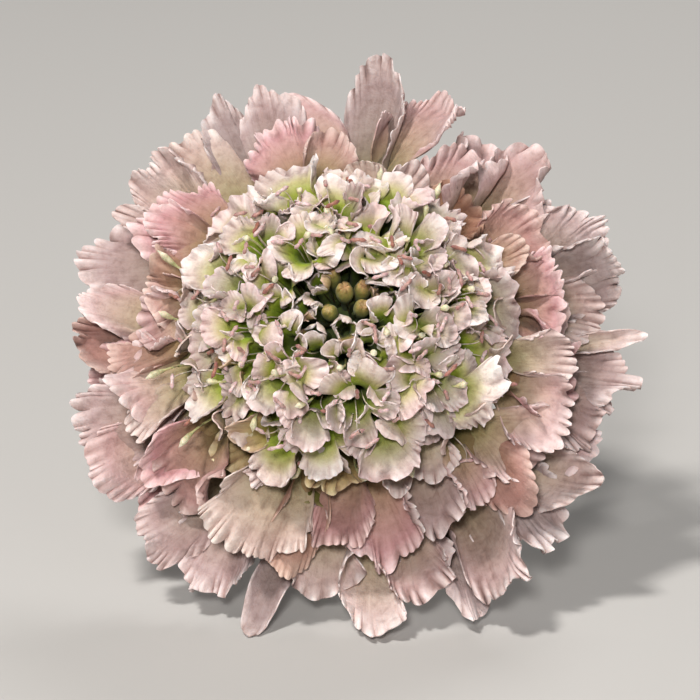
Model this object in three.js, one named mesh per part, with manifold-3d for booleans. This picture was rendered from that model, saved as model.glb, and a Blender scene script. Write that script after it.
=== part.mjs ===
// A double scabiosa, cut with a short length of its own stem and laid down on a flat surface.
//
// Units are millimetres and +Z is up. The flower's face looks towards -Y and upwards, and its stem runs
// back along +Y and lies on the surface z = 0. The origin is on the surface, under the middle of the flower.
//
// The head is a dome of florets that all radiate from one point of the receptacle. From the middle outwards
// there are buds, opening florets, small and medium florets, and two whorls of large ray florets.
// A floret is a narrow tube with petal lobes at its mouth. Each lobe is a thin pleated fan, which follows a
// curve from the mouth of its tube to a tip that is given by azimuth, reach and level.
import * as THREE from 'three';
import { mergeVertices } from 'three/addons/utils/BufferGeometryUtils.js';
import Module from 'manifold-3d';

const wasm = await Module();
wasm.setup();
const { Manifold, Mesh: SolidMesh } = wasm;

// ---------------------------------------------------------------- driving dimensions
const HEAD_TILT = 35; // degrees that the face looks up
const HEAD_BASE = new THREE.Vector3(-0.7, -28.6, 25.1); // where the stem meets the head
const DOME_CENTRE = 8; // height in the head from which the florets radiate

const STEM_APOTHEM = 1.2;
const STEM_SIDES = 8;
const STEM_NECK = 21; // length over which the stem leaves the head almost straight
const STEM_LANDING = 24; // length over which it levels out before it lies flat
const STEM_END = 55.2; // y of the cut end
const STEM_FLAT = 28; // length that lies on the surface

const PETAL_THICKNESS = 0.7;
const BRACT_THICKNESS = 0.7;
const SEAT_GAP = 0.3; // clearance between neighbouring pieces

// The receptacle is a slim core. Two collars stand round it, one on the other, and carry the florets.
const CORE_RADIUS = 3.2;
const CORE_TOP = 16.6;
const INVOLUCRE_TOP = 2.2;
const LOWER_COLLAR_TOP = 10;
const COLLAR_RADIUS = 7.8;

// Angles are in degrees. Azimuth 0 is +X and 90 is the top of the standing face.
// The lowest whorl makes the outline, so each of its lobes has its own [azimuth, reach, width].
const LOWEST = { distance: 17.5, throat: 1.9, levels: [4.6, 6.6, 2.6] };
const LOWEST_WHORL = [
  { polar: 95, lobes: [[-14, 31.6, 9], [-5, 33, 7], [3.4, 35, 3.5]] },
  { polar: 93, lobes: [[8, 30.8, 6], [18, 33.4, 10.5], [32, 33.2, 8.5]] },
  { polar: 97, lobes: [[46, 33.6, 7.5], [59, 31, 7], [72, 33.2, 8]] },
  { polar: 94, lobes: [[86, 37, 8], [97, 31.8, 6], [109, 34.8, 8.5]] },
  { polar: 96, lobes: [[120, 34.8, 7], [132, 33, 8.5], [142, 35.2, 7.5]] },
  { polar: 98, lobes: [[151, 33.4, 4], [160, 34.6, 10.5], [173, 33.8, 5]] },
  { polar: 94, lobes: [[181, 33, 9], [190, 31.8, 7.5], [200, 35, 9]] },
  { polar: 97, lobes: [[210, 34.8, 7], [220, 35.4, 9], [230, 34.2, 7]] },
  { polar: 95, lobes: [[239, 34.6, 8], [253, 37.2, 6], [262, 31.6, 5]] },
  { polar: 92, lobes: [[269, 31.2, 6], [276, 35.6, 7.5], [284, 33, 6]] },
  { polar: 94, lobes: [[291, 32.6, 6.5], [300, 36.6, 7], [309, 34.8, 8]] },
  { polar: 97, lobes: [[321, 35.6, 9], [333, 33, 7.5]] },
];

// The upper ray florets stand over them. A lobe is [azimuth, reach, level, width].
const UPPER = { polar: 77, distance: 17, throat: 2 };
const UPPER_WHORL = [
  { azimuth: 14, lobes: [[15, 27.6, 10, 9.5], [3, 27.2, 8, 5]] },
  { azimuth: 36, lobes: [[34, 26.8, 9, 6.5], [26.5, 24, 12.4, 4.5]] },
  { azimuth: 58, lobes: [[61, 27.5, 9.6, 7.5], [49, 22.8, 10, 6]] },
  { azimuth: 80, lobes: [[70, 22.2, 13.2, 4.5], [88, 21, 12.6, 4.5]] },
  { azimuth: 108, lobes: [[109, 28.2, 9.6, 9], [97, 26, 9, 5]] },
  { azimuth: 126, lobes: [[121, 21.6, 13, 5]] },
  { azimuth: 143, lobes: [[146, 28, 9.6, 9.5], [154.5, 27.6, 8, 6]] },
  { azimuth: 162, lobes: [[161.5, 26, 9.6, 7], [169, 25.2, 9, 5]] },
  { azimuth: 179, lobes: [[175, 24.8, 10.4, 6], [184, 29.5, 7.4, 8]] },
  { azimuth: 195, lobes: [[198, 27.6, 9.8, 9.5], [207.5, 27.5, 8.4, 4.5]] },
  { azimuth: 217, lobes: [[218.5, 29, 8.4, 5.5], [230, 29.2, 7.6, 8.5]] },
  { azimuth: 236, lobes: [[227, 20, 12.2, 5.5], [237, 18.8, 12.4, 5]] },
  { azimuth: 256, lobes: [[248, 30, 9.8, 11], [258, 29.6, 8, 6], [242, 21.4, 13, 5]] },
  { azimuth: 277, lobes: [[272, 26, 9, 6.5], [284, 26.4, 9, 6.5], [269, 19.8, 12.4, 6]] },
  { azimuth: 298, lobes: [[302, 20.6, 13.4, 6], [297, 27.4, 9, 5.5], [289, 21, 12.6, 3.5]] },
  { azimuth: 318, lobes: [[310.5, 26.4, 9.8, 5], [328, 28.2, 9.6, 6.5], [319, 29, 8, 6]] },
  { azimuth: 349, lobes: [[349, 28, 9.8, 8.5], [339, 27.4, 9, 6], [357.5, 27, 10, 3.5]] },
];

// The florets of the inner whorls are small corollas with their outline cut into lobes. A lobe is [direction
// round the floret, length, width, lift]. Direction 0 faces away from the middle of the head, and lift is
// the angle above the plane of the mouth. Where the length is 0 the corolla has no lobe. A place is
// [azimuth, polar angle], and every other floret of a whorl stands higher than the next by two steps.
const MEDIUM = {
  distance: 16.2, throat: 1.5, step: 0.5, edge: [3],
  lobes: [[0, 5.8, 6.4, 44], [64, 4.6, 5.2, 24], [135, 0], [-135, 0], [-64, 4.6, 5.2, 24]],
  places: [
    [7, 59], [28, 55], [52, 54], [72, 51], [92, 50], [112, 51], [126, 57], [140, 57], [161, 54], [178, 58],
    [195, 54], [212, 56], [232, 54], [247, 59], [263, 51], [292, 50], [312, 52], [328, 54], [346, 57],
  ],
};
const SMALL = {
  distance: 16.4, throat: 1.3, step: 0.4, edge: [3],
  lobes: [[0, 4.8, 4.8, 42], [65, 3.6, 3.8, 26], [138, 0], [-138, 0], [-65, 3.6, 3.8, 26]],
  places: [
    [12, 47], [23, 36], [38, 46], [68, 28], [97, 33], [127, 31], [148, 43], [198, 38], [223, 38], [248, 30],
    [279, 36], [301, 32], [324, 41], [343, 33],
  ],
};
const OPENING = {
  distance: 15, throat: 1.1, step: 0, edge: [3],
  lobes: [[0, 3.2, 3.2, 50], [72, 2.6, 2.6, 60], [144, 2, 2.2, 66], [-144, 2, 2.2, 66], [-72, 2.6, 2.6, 60]],
  places: [[12, 26], [157, 26], [191, 26], [288, 27], [322, 26], [356, 32]],
};
const SIZE_PLAY = 0.12; // share by which the size of a lobe strays

const BUDS = {
  radius: 1.15, length: 3.3, distance: 12.6,
  places: [[60, 5], [205, 5], [350, 9], [290, 10], [145, 12], [100, 13], [38, 14], [182, 14], [226, 17]],
};
const BRACTS = { count: 14, reach: 13, width: 2.6, droop: -1.2 };

const TUBE_SIDES = 5;
const TUBE_ROOT_RADIUS = 0.7;
const ROUND_SIDES = 14; // sides of a collar, a disc or a parting surface

// ---------------------------------------------------------------- small helpers
const rad = THREE.MathUtils.degToRad;

// The same number from 0 to 1 for the same seed, so that the flower always grows alike.
function chance(seed) {
  const s = Math.sin(seed * 12.9898 + 4.1414) * 43758.5453;
  return s - Math.floor(s);
}
const play = (seed, size) => (chance(seed) * 2 - 1) * size;

// A point of the head, by azimuth, reach from its axis and level above its base.
function headPoint(azimuth, reach, level) {
  return new THREE.Vector3(reach * Math.cos(rad(azimuth)), reach * Math.sin(rad(azimuth)), level);
}

// A closed geometry as a solid.
function solidOf(geometry) {
  const bare = new THREE.BufferGeometry().setAttribute('position', geometry.getAttribute('position'));
  if (geometry.index) bare.setIndex(geometry.index);
  const merged = mergeVertices(bare, 1e-4);
  return new Manifold(new SolidMesh({
    numProp: 3,
    vertProperties: new Float32Array(merged.attributes.position.array),
    triVerts: new Uint32Array(merged.index.array),
  }));
}

function geometryOf(solid) {
  const { vertProperties, triVerts } = solid.getMesh();
  const geometry = new THREE.BufferGeometry();
  geometry.setAttribute('position', new THREE.BufferAttribute(new Float32Array(vertProperties), 3));
  geometry.setIndex(new THREE.BufferAttribute(new Uint32Array(triVerts), 1));
  geometry.computeVertexNormals();
  return geometry;
}

const joined = (solids) => solids.reduce((whole, solid) => whole.add(solid));

// The largest body of a solid: scraps and slivers that a cut leaves are dropped.
function mainBody(solid) {
  const bodies = solid.decompose();
  const largest = bodies.reduce((best, body) => (body.volume() > best.volume() ? body : best));
  return largest;
}

// A solid of revolution about the head's axis, from [radius, level] points that start and end on the axis
// or close on themselves.
function turned(profile, sides = ROUND_SIDES) {
  const geometry = new THREE.LatheGeometry(profile.map(([r, z]) => new THREE.Vector2(r, z)), sides);
  return solidOf(geometry.rotateX(Math.PI / 2));
}

// ---------------------------------------------------------------- tubes and blades
// A cone from one point to another, with its own radius at each end.
function tube(from, to, rootRadius, mouthRadius) {
  const along = to.clone().sub(from);
  const geometry = new THREE.CylinderGeometry(mouthRadius, rootRadius, along.length(), TUBE_SIDES);
  const turn = new THREE.Quaternion().setFromUnitVectors(new THREE.Vector3(0, 1, 0), along.normalize());
  geometry.applyQuaternion(turn);
  const middle = from.clone().add(to).multiplyScalar(0.5);
  return solidOf(geometry.translate(middle.x, middle.y, middle.z));
}

// The triangles between a near and a far row of cell numbers, which need not be equally long.
function stitch(near, far) {
  const faces = [];
  let i = 0;
  let j = 0;
  while (i < near.length - 1 || j < far.length - 1) {
    const nearNext = i < near.length - 1 ? (i + 1) / (near.length - 1) : Infinity;
    const farNext = j < far.length - 1 ? (j + 1) / (far.length - 1) : Infinity;
    if (nearNext <= farNext) {
      faces.push([near[i], far[j], near[i + 1]]);
      i += 1;
    } else {
      faces.push([near[i], far[j], far[j + 1]]);
      j += 1;
    }
  }
  return faces;
}

// A thin closed solid on { point, normal } cells. Both faces have the same triangles, and a rim closes them.
// Where it has a foot, the cells from 1 on are its neck: a tube goes down from them to the foot's points,
// and the neck is open to cell 0 only on the front.
function sheet(cells, faces, thickness, foot = []) {
  const behind = cells.length;
  const next = (k) => (k + 1) % foot.length;
  const edges = faces.flatMap(([a, b, c]) => [[a, b], [b, c], [c, a]]);
  const known = new Set(edges.map((edge) => edge.join()));
  const rim = edges.filter(([a, b]) => !known.has([b, a].join()));
  const shell = [
    ...faces,
    ...faces.filter(([a]) => a > 0 || !foot.length).map(([a, b, c]) => [a + behind, c + behind, b + behind]),
    ...foot.flatMap((_, k) => {
      const [a, b] = [behind + 1 + k, behind + 1 + next(k)];
      return [[b, a, 2 * behind + k], [b, 2 * behind + k, 2 * behind + next(k)]];
    }),
    ...foot.slice(2).map((_, k) => [2 * behind, 2 * behind + k + 2, 2 * behind + k + 1]),
    ...rim.flatMap(([a, b]) => [[b, a, a + behind], [b, a + behind, b + behind]]),
  ];
  const points = [thickness / 2, -thickness / 2].flatMap((offset) => (
    cells.map(({ point, normal }) => point.clone().addScaledVector(normal, offset))));
  return solidOf(new THREE.BufferGeometry().setFromPoints([...points, ...foot]).setIndex(shell.flat()));
}

// The numbers of the cells of each row, where the first row starts at `start`, and the faces between rows.
function numbered(rows, start) {
  let next = start;
  return rows.map((row) => row.map(() => next++));
}
const between = (numbers) => numbers.slice(1).flatMap((far, r) => stitch(numbers[r], far));

// A blade on its own, through rows of cells.
const blade = (rows, thickness) => sheet(rows.flat(), between(numbered(rows, 0)), thickness);

// One row of cells across a lobe that follows a spine. The row bends back at its sides, which rounds the
// lobe, and its cells stand in turn above and below the blade by the ruffle.
function lobeRow(spine, facing, { v, count, half, ruffle, seed }) {
  return Array.from({ length: count }, (_, k) => {
    const u = (2 * k) / (count - 1) - 1;
    const reached = v * (1 - 0.24 * u * u * v);
    const tangent = spine.getTangent(reached);
    const across = facing.clone().cross(tangent).normalize();
    const normal = tangent.clone().cross(across);
    const wave = v * ruffle * (k % 2 ? 1 : -1) * (0.6 + 0.4 * chance(seed + k));
    const point = spine.getPoint(reached).addScaledVector(across, u * half).addScaledVector(normal, wave);
    return { point, normal };
  });
}

// ---------------------------------------------------------------- florets
// The axis of a floret that radiates from the dome's centre, its mouth, and the directions round the axis.
function floretFrame(azimuth, polar, distance) {
  const axis = headPoint(azimuth, Math.sin(rad(polar)), Math.cos(rad(polar)));
  const outward = headPoint(azimuth, Math.cos(rad(polar)), -Math.sin(rad(polar)));
  const centre = new THREE.Vector3(0, 0, DOME_CENTRE);
  return {
    axis,
    mouth: centre.clone().addScaledVector(axis, distance),
    at: (far) => centre.clone().addScaledVector(axis, far),
    sideways: (angle) => outward.clone().applyAxisAngle(axis, rad(angle)),
  };
}

// A large lobe, a fan that widens from the mouth of a ray floret to a tip given on the head.
function rayLobe({ axis, mouth }, throat, { azimuth, reach, level, width }, seed) {
  const tip = headPoint(azimuth, reach, level);
  const away = tip.clone().sub(mouth).projectOnPlane(axis).normalize();
  const root = mouth.clone().addScaledVector(away, throat * 0.6).addScaledVector(axis, -0.6);
  const length = tip.distanceTo(root);
  const bend = root.clone().addScaledVector(axis, length * 0.4).addScaledVector(away, length * 0.14);
  const spine = new THREE.QuadraticBezierCurve3(root, bend, tip);
  const facing = new THREE.Vector3(0, 0, 1).addScaledVector(axis, 0.5).addScaledVector(away, -0.3);
  return blade([
    { v: 0, count: 2, half: throat * 0.35 },
    { v: 0.55, count: 3, half: width * 0.32 },
    { v: 1, count: 5, half: width * 0.5 },
  ].map((row) => lobeRow(spine, facing, { ...row, ruffle: 0.07 * width, seed })), PETAL_THICKNESS);
}

function rayFloret({ azimuth, polar, distance, throat, lobes, seed }) {
  const frame = floretFrame(azimuth, polar, distance);
  const mouth = tube(frame.at(COLLAR_RADIUS - 1.6), frame.mouth, TUBE_ROOT_RADIUS, throat);
  return [mouth, ...lobes.map((given, k) => rayLobe(frame, throat, given, seed + 10 * k))];
}

// A small floret: a tube, and one thin funnel at its mouth whose outline is cut into lobes.
function corollaFloret({ azimuth, polar, distance, throat, edge, lobes, rootDistance, seed }) {
  const { axis, mouth, at, sideways } = floretFrame(azimuth, polar, distance);
  const notches = lobes.map(([angle], k) => {
    const next = lobes[(k + 1) % lobes.length][0];
    return sideways((angle + next + (next < angle - 180 ? 360 : 0)) / 2);
  });
  const neck = notches.map((away) => ({
    point: mouth.clone().addScaledVector(away, throat),
    normal: axis.clone().addScaledVector(away, -0.7).normalize(),
  }));
  const foot = notches.map((away) => at(rootDistance).addScaledVector(away, TUBE_ROOT_RADIUS));
  const before = (k) => 1 + ((k + lobes.length - 1) % lobes.length);
  const cells = [{ point: mouth.clone().addScaledVector(axis, -0.9), normal: axis }, ...neck];
  const faces = neck.map((_, k) => [0, before(k), 1 + k]);

  lobes.forEach(([angle, length, width, lift], k) => {
    if (!length) return;
    const away = sideways(angle);
    const up = Math.sin(rad(lift));
    const out = Math.cos(rad(lift));
    const base = mouth.clone().addScaledVector(away, throat * 0.8);
    const from = (rise, reach) => (
      base.clone().addScaledVector(axis, length * rise).addScaledVector(away, length * reach));
    const spine = new THREE.QuadraticBezierCurve3(from(0, 0), from(0.16 + 0.4 * up, 0.3), from(up, out));
    const facing = axis.clone().addScaledVector(away, -0.5);
    const rows = edge.map((count, r) => {
      const v = (r + 1.2) / (edge.length + 0.2);
      const ruffle = 0.07 * width;
      return lobeRow(spine, facing, { v, count, half: width / 2, ruffle, seed: seed + 10 * k + r });
    });
    faces.push(...between([[before(k), 1 + k], ...numbered(rows, cells.length)]));
    cells.push(...rows.flat());
  });
  return sheet(cells, faces, PETAL_THICKNESS, foot);
}

function smallFlorets({ places, step, ...whorl }, rootDistance, seed) {
  return places.map(([azimuth, polar], k) => corollaFloret({
    ...whorl, azimuth, polar, rootDistance, seed: seed + 100 * k,
    distance: whorl.distance + step * (k % 2 ? 1 : -1),
    lobes: whorl.lobes.map(([angle, length, width, lift], j) => {
      const share = 1 + play(seed + 100 * k + 2 + j, SIZE_PLAY);
      return [angle, length * share, width * share, lift];
    }),
  }));
}

function upperFlorets() {
  return UPPER_WHORL.flatMap(({ azimuth: place, lobes }, k) => rayFloret({
    ...UPPER, azimuth: place, seed: 3000 + 100 * k,
    lobes: lobes.map(([azimuth, reach, level, width]) => ({ azimuth, reach, level, width })),
  }));
}

// The level at which a point of the head, by azimuth and reach, meets the surface that the flower lies on.
const restingLevel = (azimuth, reach) => (
  -(HEAD_BASE.z + headPoint(azimuth, reach, 0).y * Math.cos(rad(HEAD_TILT))) / Math.sin(rad(HEAD_TILT)));

// The middle lobe of a floret of the lowest whorl stands before its neighbours. A tip that would go under
// the surface is bent up to it.
function lowestFlorets() {
  return LOWEST_WHORL.flatMap(({ polar, lobes }, k) => rayFloret({
    ...LOWEST, polar, azimuth: (lobes[0][0] + lobes.at(-1)[0]) / 2, seed: 900 + 10 * k,
    lobes: lobes.map(([azimuth, reach, width], j) => ({
      azimuth, reach, width, level: Math.max(LOWEST.levels[j], restingLevel(azimuth, reach)),
    })),
  }));
}

// ---------------------------------------------------------------- parting surfaces
// Neighbouring pieces keep to their own side of these surfaces, so that no petal crosses into the next one.
const BUD_HOLLOW = [[CORE_RADIUS, 0], [CORE_RADIUS, CORE_TOP - 1.4], [5.2, CORE_TOP + 3.6], [5.2, 40]];
const UNDER_INNER = [
  [0, LOWER_COLLAR_TOP], [COLLAR_RADIUS + 1, LOWER_COLLAR_TOP],
  [12, 12.7], [15, 14.1], [20, 14.7], [24, 15.6], [60, 22],
];

const widened = (profile, by) => profile.map(([r, z]) => [r + by, z]);
const raised = (profile, by) => profile.map(([r, z]) => [r, z + by]);
const insideHollow = (by) => (
  turned([[0, -10], [CORE_RADIUS + by, -10], ...widened(BUD_HOLLOW, by), [0, 40]]));
const belowInner = (by) => turned([[0, -20], [60, -20], ...raised(UNDER_INNER, by).reverse()]);

// Everything under the surface that the flower lies on, as seen from the head.
function underSurface(head) {
  const slab = new THREE.BoxGeometry(200, 200, 60).translate(0, 0, -30);
  head.updateMatrixWorld(true);
  return solidOf(slab.applyMatrix4(head.matrixWorld.clone().invert()));
}

// ---------------------------------------------------------------- the pieces of the flower
function budCluster() {
  const core = turned([[0, INVOLUCRE_TOP + SEAT_GAP], [CORE_RADIUS, INVOLUCRE_TOP + SEAT_GAP],
    [CORE_RADIUS, CORE_TOP - 2], [0, CORE_TOP]], 12);
  const buds = BUDS.places.map(([azimuth, polar]) => {
    const { axis, mouth, at } = floretFrame(azimuth, polar, BUDS.distance);
    const outline = [[0, 0], [0.8, 0.9], [1, 2.2], [0.65, 3.05], [0, 3.3]].map(([r, z]) => (
      new THREE.Vector2(r * BUDS.radius, (z / 3.3) * BUDS.length)));
    const turn = new THREE.Quaternion().setFromUnitVectors(new THREE.Vector3(0, 1, 0), axis);
    const bud = new THREE.LatheGeometry(outline, 6).applyQuaternion(turn);
    const foot = mouth.clone().addScaledVector(axis, -BUDS.length * 0.4);
    return tube(at(6), at(BUDS.distance), 0.5, 0.6).add(solidOf(bud.translate(foot.x, foot.y, foot.z)));
  });
  return mainBody(joined([core, ...buds]).intersect(insideHollow(0)));
}

function innerFlorets() {
  const inner = CORE_RADIUS + SEAT_GAP;
  const bottom = LOWER_COLLAR_TOP + SEAT_GAP;
  const collar = turned([[inner, bottom], [COLLAR_RADIUS, bottom], [7.6, 13.6], [6.2, 17.2], [4.9, 18.5],
    [inner, CORE_TOP - 1.4], [inner, bottom]]);
  const florets = [
    ...smallFlorets(MEDIUM, 7.5, 5000), ...smallFlorets(SMALL, 7, 7000), ...smallFlorets(OPENING, 10, 9000),
  ];
  const grown = joined([collar, ...florets]);
  return mainBody(grown.subtract(insideHollow(SEAT_GAP)).subtract(belowInner(SEAT_GAP)));
}

function outerFlorets(surface) {
  const inner = CORE_RADIUS + SEAT_GAP;
  const bottom = INVOLUCRE_TOP + SEAT_GAP;
  const top = LOWER_COLLAR_TOP;
  const collar = turned([
    [inner, bottom], [6.4, bottom], [COLLAR_RADIUS, 5], [COLLAR_RADIUS, top], [inner, top], [inner, bottom],
  ]);
  const florets = [...lowestFlorets(), ...upperFlorets()];
  return mainBody(joined([collar, ...florets]).intersect(belowInner(0)).subtract(surface));
}

function involucre() {
  const disc = turned([[0, 0], [STEM_APOTHEM + 0.5, 0], [4.4, 0.9], [4.8, 1.5], [4.8, INVOLUCRE_TOP],
    [0, INVOLUCRE_TOP]]);
  const bracts = Array.from({ length: BRACTS.count }, (_, k) => {
    const azimuth = (360 * k) / BRACTS.count;
    const reach = BRACTS.reach * (k % 2 ? 0.8 : 1) * (1 + play(k, 0.05));
    const spine = new THREE.QuadraticBezierCurve3(
      headPoint(azimuth, 3.6, 1.4), headPoint(azimuth, 8, 1.8), headPoint(azimuth, reach, BRACTS.droop));
    const across = headPoint(azimuth + 90, 1, 0);
    const widths = [[0, 0.8], [0.55, 1], [1, 0.16]];
    return blade(widths.map(([v, share]) => [-1, 1].map((side) => ({
      point: spine.getPoint(v).addScaledVector(across, (side * share * BRACTS.width) / 2),
      normal: spine.getTangent(v).cross(across),
    }))), BRACT_THICKNESS);
  });
  return joined([disc, ...bracts]);
}

// The stem curves in one upright plane. It leaves the head along its axis, levels out, and its last stretch
// lies flat on the surface.
function stem(head) {
  const down = new THREE.Vector3(0, 0, -1).applyQuaternion(head.quaternion);
  const top = HEAD_BASE.clone().addScaledVector(down, SEAT_GAP);
  const touch = new THREE.Vector3(HEAD_BASE.x, STEM_END - STEM_FLAT, STEM_APOTHEM);
  const path = new THREE.CurvePath();
  path.add(new THREE.CubicBezierCurve3(top, top.clone().addScaledVector(down, STEM_NECK),
    touch.clone().add(new THREE.Vector3(0, -STEM_LANDING, 0)), touch));
  path.add(new THREE.LineCurve3(touch, touch.clone().setY(STEM_END)));

  const corner = STEM_APOTHEM / Math.cos(Math.PI / STEM_SIDES);
  const section = new THREE.Shape(Array.from({ length: STEM_SIDES }, (_, k) => {
    const angle = (2 * Math.PI * (k + 0.5)) / STEM_SIDES;
    return new THREE.Vector2(corner * Math.cos(angle), corner * Math.sin(angle));
  }));
  return new THREE.ExtrudeGeometry(section, { steps: 14, extrudePath: path });
}

// ---------------------------------------------------------------- assembly
const petalPink = new THREE.MeshStandardMaterial({ color: '#dcc0c2', roughness: 0.7 });
const petalCream = new THREE.MeshStandardMaterial({ color: '#e6d8cf', roughness: 0.7 });
const budGreen = new THREE.MeshStandardMaterial({ color: '#8c8f45', roughness: 0.6 });
const bractGreen = new THREE.MeshStandardMaterial({ color: '#5f7a3a', roughness: 0.65 });
const stemGreen = new THREE.MeshStandardMaterial({ color: '#6f8a48', roughness: 0.6 });

function named(name, geometry, material) {
  const mesh = new THREE.Mesh(geometry, material);
  mesh.name = name;
  return mesh;
}

const head = new THREE.Group();
head.position.copy(HEAD_BASE);
head.rotation.x = rad(90 - HEAD_TILT);

head.add(
  named('involucre', geometryOf(involucre()), bractGreen),
  named('bud_cluster', geometryOf(budCluster()), budGreen),
  named('inner_florets', geometryOf(innerFlorets()), petalCream),
  named('outer_florets', geometryOf(outerFlorets(underSurface(head))), petalPink),
);

const flower = new THREE.Group();
flower.add(head, named('stem', stem(head), stemGreen));

export default flower;
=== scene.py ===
# %% [markdown]
# # A double scabiosa, laid on a table
# A scabiosa, or pincushion flower, is a head of many small florets on one bare stem. Each floret is a thin
# tube that opens into frilled lobes. Here the frame of the flower is loaded, and then each part of it is
# modelled and finished: camera and light, ray florets, inner florets, buds, stamens, bracts and stem.

import math

import bpy
import numpy as np
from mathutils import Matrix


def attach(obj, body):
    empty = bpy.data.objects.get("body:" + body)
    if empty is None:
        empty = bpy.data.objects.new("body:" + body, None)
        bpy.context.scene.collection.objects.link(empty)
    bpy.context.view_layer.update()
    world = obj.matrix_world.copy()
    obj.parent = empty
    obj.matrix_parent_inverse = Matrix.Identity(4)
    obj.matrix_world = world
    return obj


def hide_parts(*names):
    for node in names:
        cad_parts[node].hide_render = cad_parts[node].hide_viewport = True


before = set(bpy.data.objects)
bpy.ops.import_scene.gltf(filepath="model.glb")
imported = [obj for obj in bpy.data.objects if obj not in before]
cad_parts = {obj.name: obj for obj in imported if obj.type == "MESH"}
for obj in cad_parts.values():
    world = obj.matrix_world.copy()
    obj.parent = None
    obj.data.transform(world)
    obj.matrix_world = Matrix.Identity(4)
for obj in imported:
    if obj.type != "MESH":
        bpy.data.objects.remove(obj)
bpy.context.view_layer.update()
print("nodes:", sorted(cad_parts))

# %% [markdown]
# ## Measures
# All sizes are in millimetres, as a botanist would write them down, and one function turns them into
# Blender's metres. The flower is measured from its own head: azimuth goes round the face, reach goes out from
# its axis, and level goes up from the top of the stem towards the viewer. The head leans back by its tilt.

# %% The head's own directions
MM = 0.001
TILT = math.radians(35)
HEAD_BASE = np.array([-0.7, -28.6, 25.1])
HEAD_AXES = np.array([[1, 0, 0], [0, math.sin(TILT), math.cos(TILT)], [0, -math.cos(TILT), math.sin(TILT)]])
DOME_CENTRE = np.array([0, 0, 8.0])
FRONT = np.array([0, 0, 1.0])


def to_world(points):
    """Points of the head, in millimetres, as points of the scene, in metres."""
    return (HEAD_BASE + np.asarray(points) @ HEAD_AXES) * MM


def head_point(azimuth, reach, level):
    a = math.radians(azimuth)
    return np.array([reach * math.cos(a), reach * math.sin(a), level])


def chance(seed):
    """The same number from 0 to 1 for the same seed, so that the flower always grows alike."""
    s = math.sin(seed * 12.9898 + 4.1414) * 43758.5453
    return s - math.floor(s)


def play(seed, size):
    return (chance(seed) * 2 - 1) * size


def unit(v):
    return v / np.linalg.norm(v, axis=-1, keepdims=True)


def smooth(low, high, x):
    """A soft step from 0 at low to 1 at high."""
    t = np.clip((x - low) / (high - low), 0, 1)
    return t * t * (3 - 2 * t)


print("the head's axis points to", HEAD_AXES[2].round(3))

# %% [markdown]
# ## Camera and light
# The flower is seen almost along its own axis, from a little below and to one side of it, with a long lens,
# which keeps the dome from looking swollen. The light is that of a studio. The key lamp hangs high on the left,
# so that it grazes the petals and brings out their folds. A lamp near the camera reaches into the throats, a
# large weak one fills the shadows, and one behind draws the rims. A gamma just under 1 deepens the mid tones,
# so that the pale petals keep their greys.

# %% Camera
camera = bpy.data.objects.new("camera", bpy.data.cameras.new("camera"))
bpy.context.scene.collection.objects.link(camera)
bpy.context.scene.camera = camera
AIM = np.array([-0.7, -32.5, 27.5]) * MM
DISTANCE = 0.45
FRAME_WIDTH = 82.6 * MM  # what the camera sees from side to side, at the flower
azimuth, elevation = math.radians(5), math.radians(20)
back = np.array(
    [math.sin(azimuth) * math.cos(elevation), -math.cos(azimuth) * math.cos(elevation), math.sin(elevation)]
)
camera.data.sensor_width = 36
camera.data.lens = camera.data.sensor_width * DISTANCE / FRAME_WIDTH
camera.data.clip_start = 0.01
camera.location = AIM + back * DISTANCE
camera.rotation_euler = (math.pi / 2 - elevation, 0, azimuth)
print("lens:", round(camera.data.lens), "mm")


# %% Lamps and surroundings
HEAD_MIDDLE = np.array([0, -0.035, 0.03])


def lamp(name, place, size, power, colour):
    """A square soft lamp that looks at the flower."""
    light = bpy.data.lights.new(name, "AREA")
    light.size, light.energy, light.color = size, power, colour
    made = bpy.data.objects.new(name, light)
    bpy.context.scene.collection.objects.link(made)
    made.location = place
    towards = unit(HEAD_MIDDLE - np.array(place))
    turn = math.atan2(towards[1], towards[0]) - math.pi / 2
    made.rotation_euler = (math.pi / 2 + math.asin(towards[2]), 0, turn)


# Each lamp: name, place and side in metres, watts and colour.
lamp("key", (-0.3, -0.28, 0.82), 0.12, 5.5, (1.0, 0.985, 0.965))
lamp("fill", (0.5, -0.6, 0.25), 0.5, 0.6, (0.95, 0.97, 1.0))
lamp("front", (0.0, -0.76, 0.44), 0.12, 4.55, (1.0, 0.99, 0.98))
lamp("back", (0.2, 0.5, 0.6), 0.3, 2.0, (1.0, 1.0, 1.0))
world = bpy.data.worlds.new("studio")
bpy.context.scene.world = world
world.use_nodes = True
world.node_tree.nodes["Background"].inputs["Color"].default_value = (0.8, 0.82, 0.85, 1)
world.node_tree.nodes["Background"].inputs["Strength"].default_value = 0.08
bpy.context.scene.view_settings.view_transform = "Standard"
bpy.context.scene.view_settings.gamma = 0.9

# %% [markdown]
# ## Materials
# A petal is a few cell layers thick. Light enters it, scatters and comes out again near by, which gives its
# soft glow, so each petal material has some subsurface scattering. Its colour runs from the green throat over
# cream to the pink margin; on the outer petals the darkening towards the throat is partly painted shade, and
# the palest stop at the margin is a painted highlight. Those colours are laid out along the petal's own UV map,
# where
# V goes from the throat to the tip, and each petal has a tone of its own, kept in an attribute. The fourth
# channel of that attribute holds a crease value, by which the creases are painted darker as shade and the
# crests paler.


# %% Small material helpers
def linear(hex_code):
    """An sRGB hex colour as linear RGBA, which is what the shaders add up."""
    srgb = [int(hex_code[i : i + 2], 16) / 255 for i in (1, 3, 5)]
    return [c / 12.92 if c <= 0.04045 else ((c + 0.055) / 1.055) ** 2.4 for c in srgb] + [1.0]


def node(tree, kind, links=(), **settings):
    """Adds a node. Settings are its properties or, with a number in their name, its inputs' values."""
    made = tree.nodes.new("ShaderNode" + kind)
    for name, value in settings.items():
        if name.startswith("in_"):
            made.inputs[int(name[3:])].default_value = value
        else:
            setattr(made, name, value)
    for socket, source in links:
        tree.links.new(source, made.inputs[socket])
    return made


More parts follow.
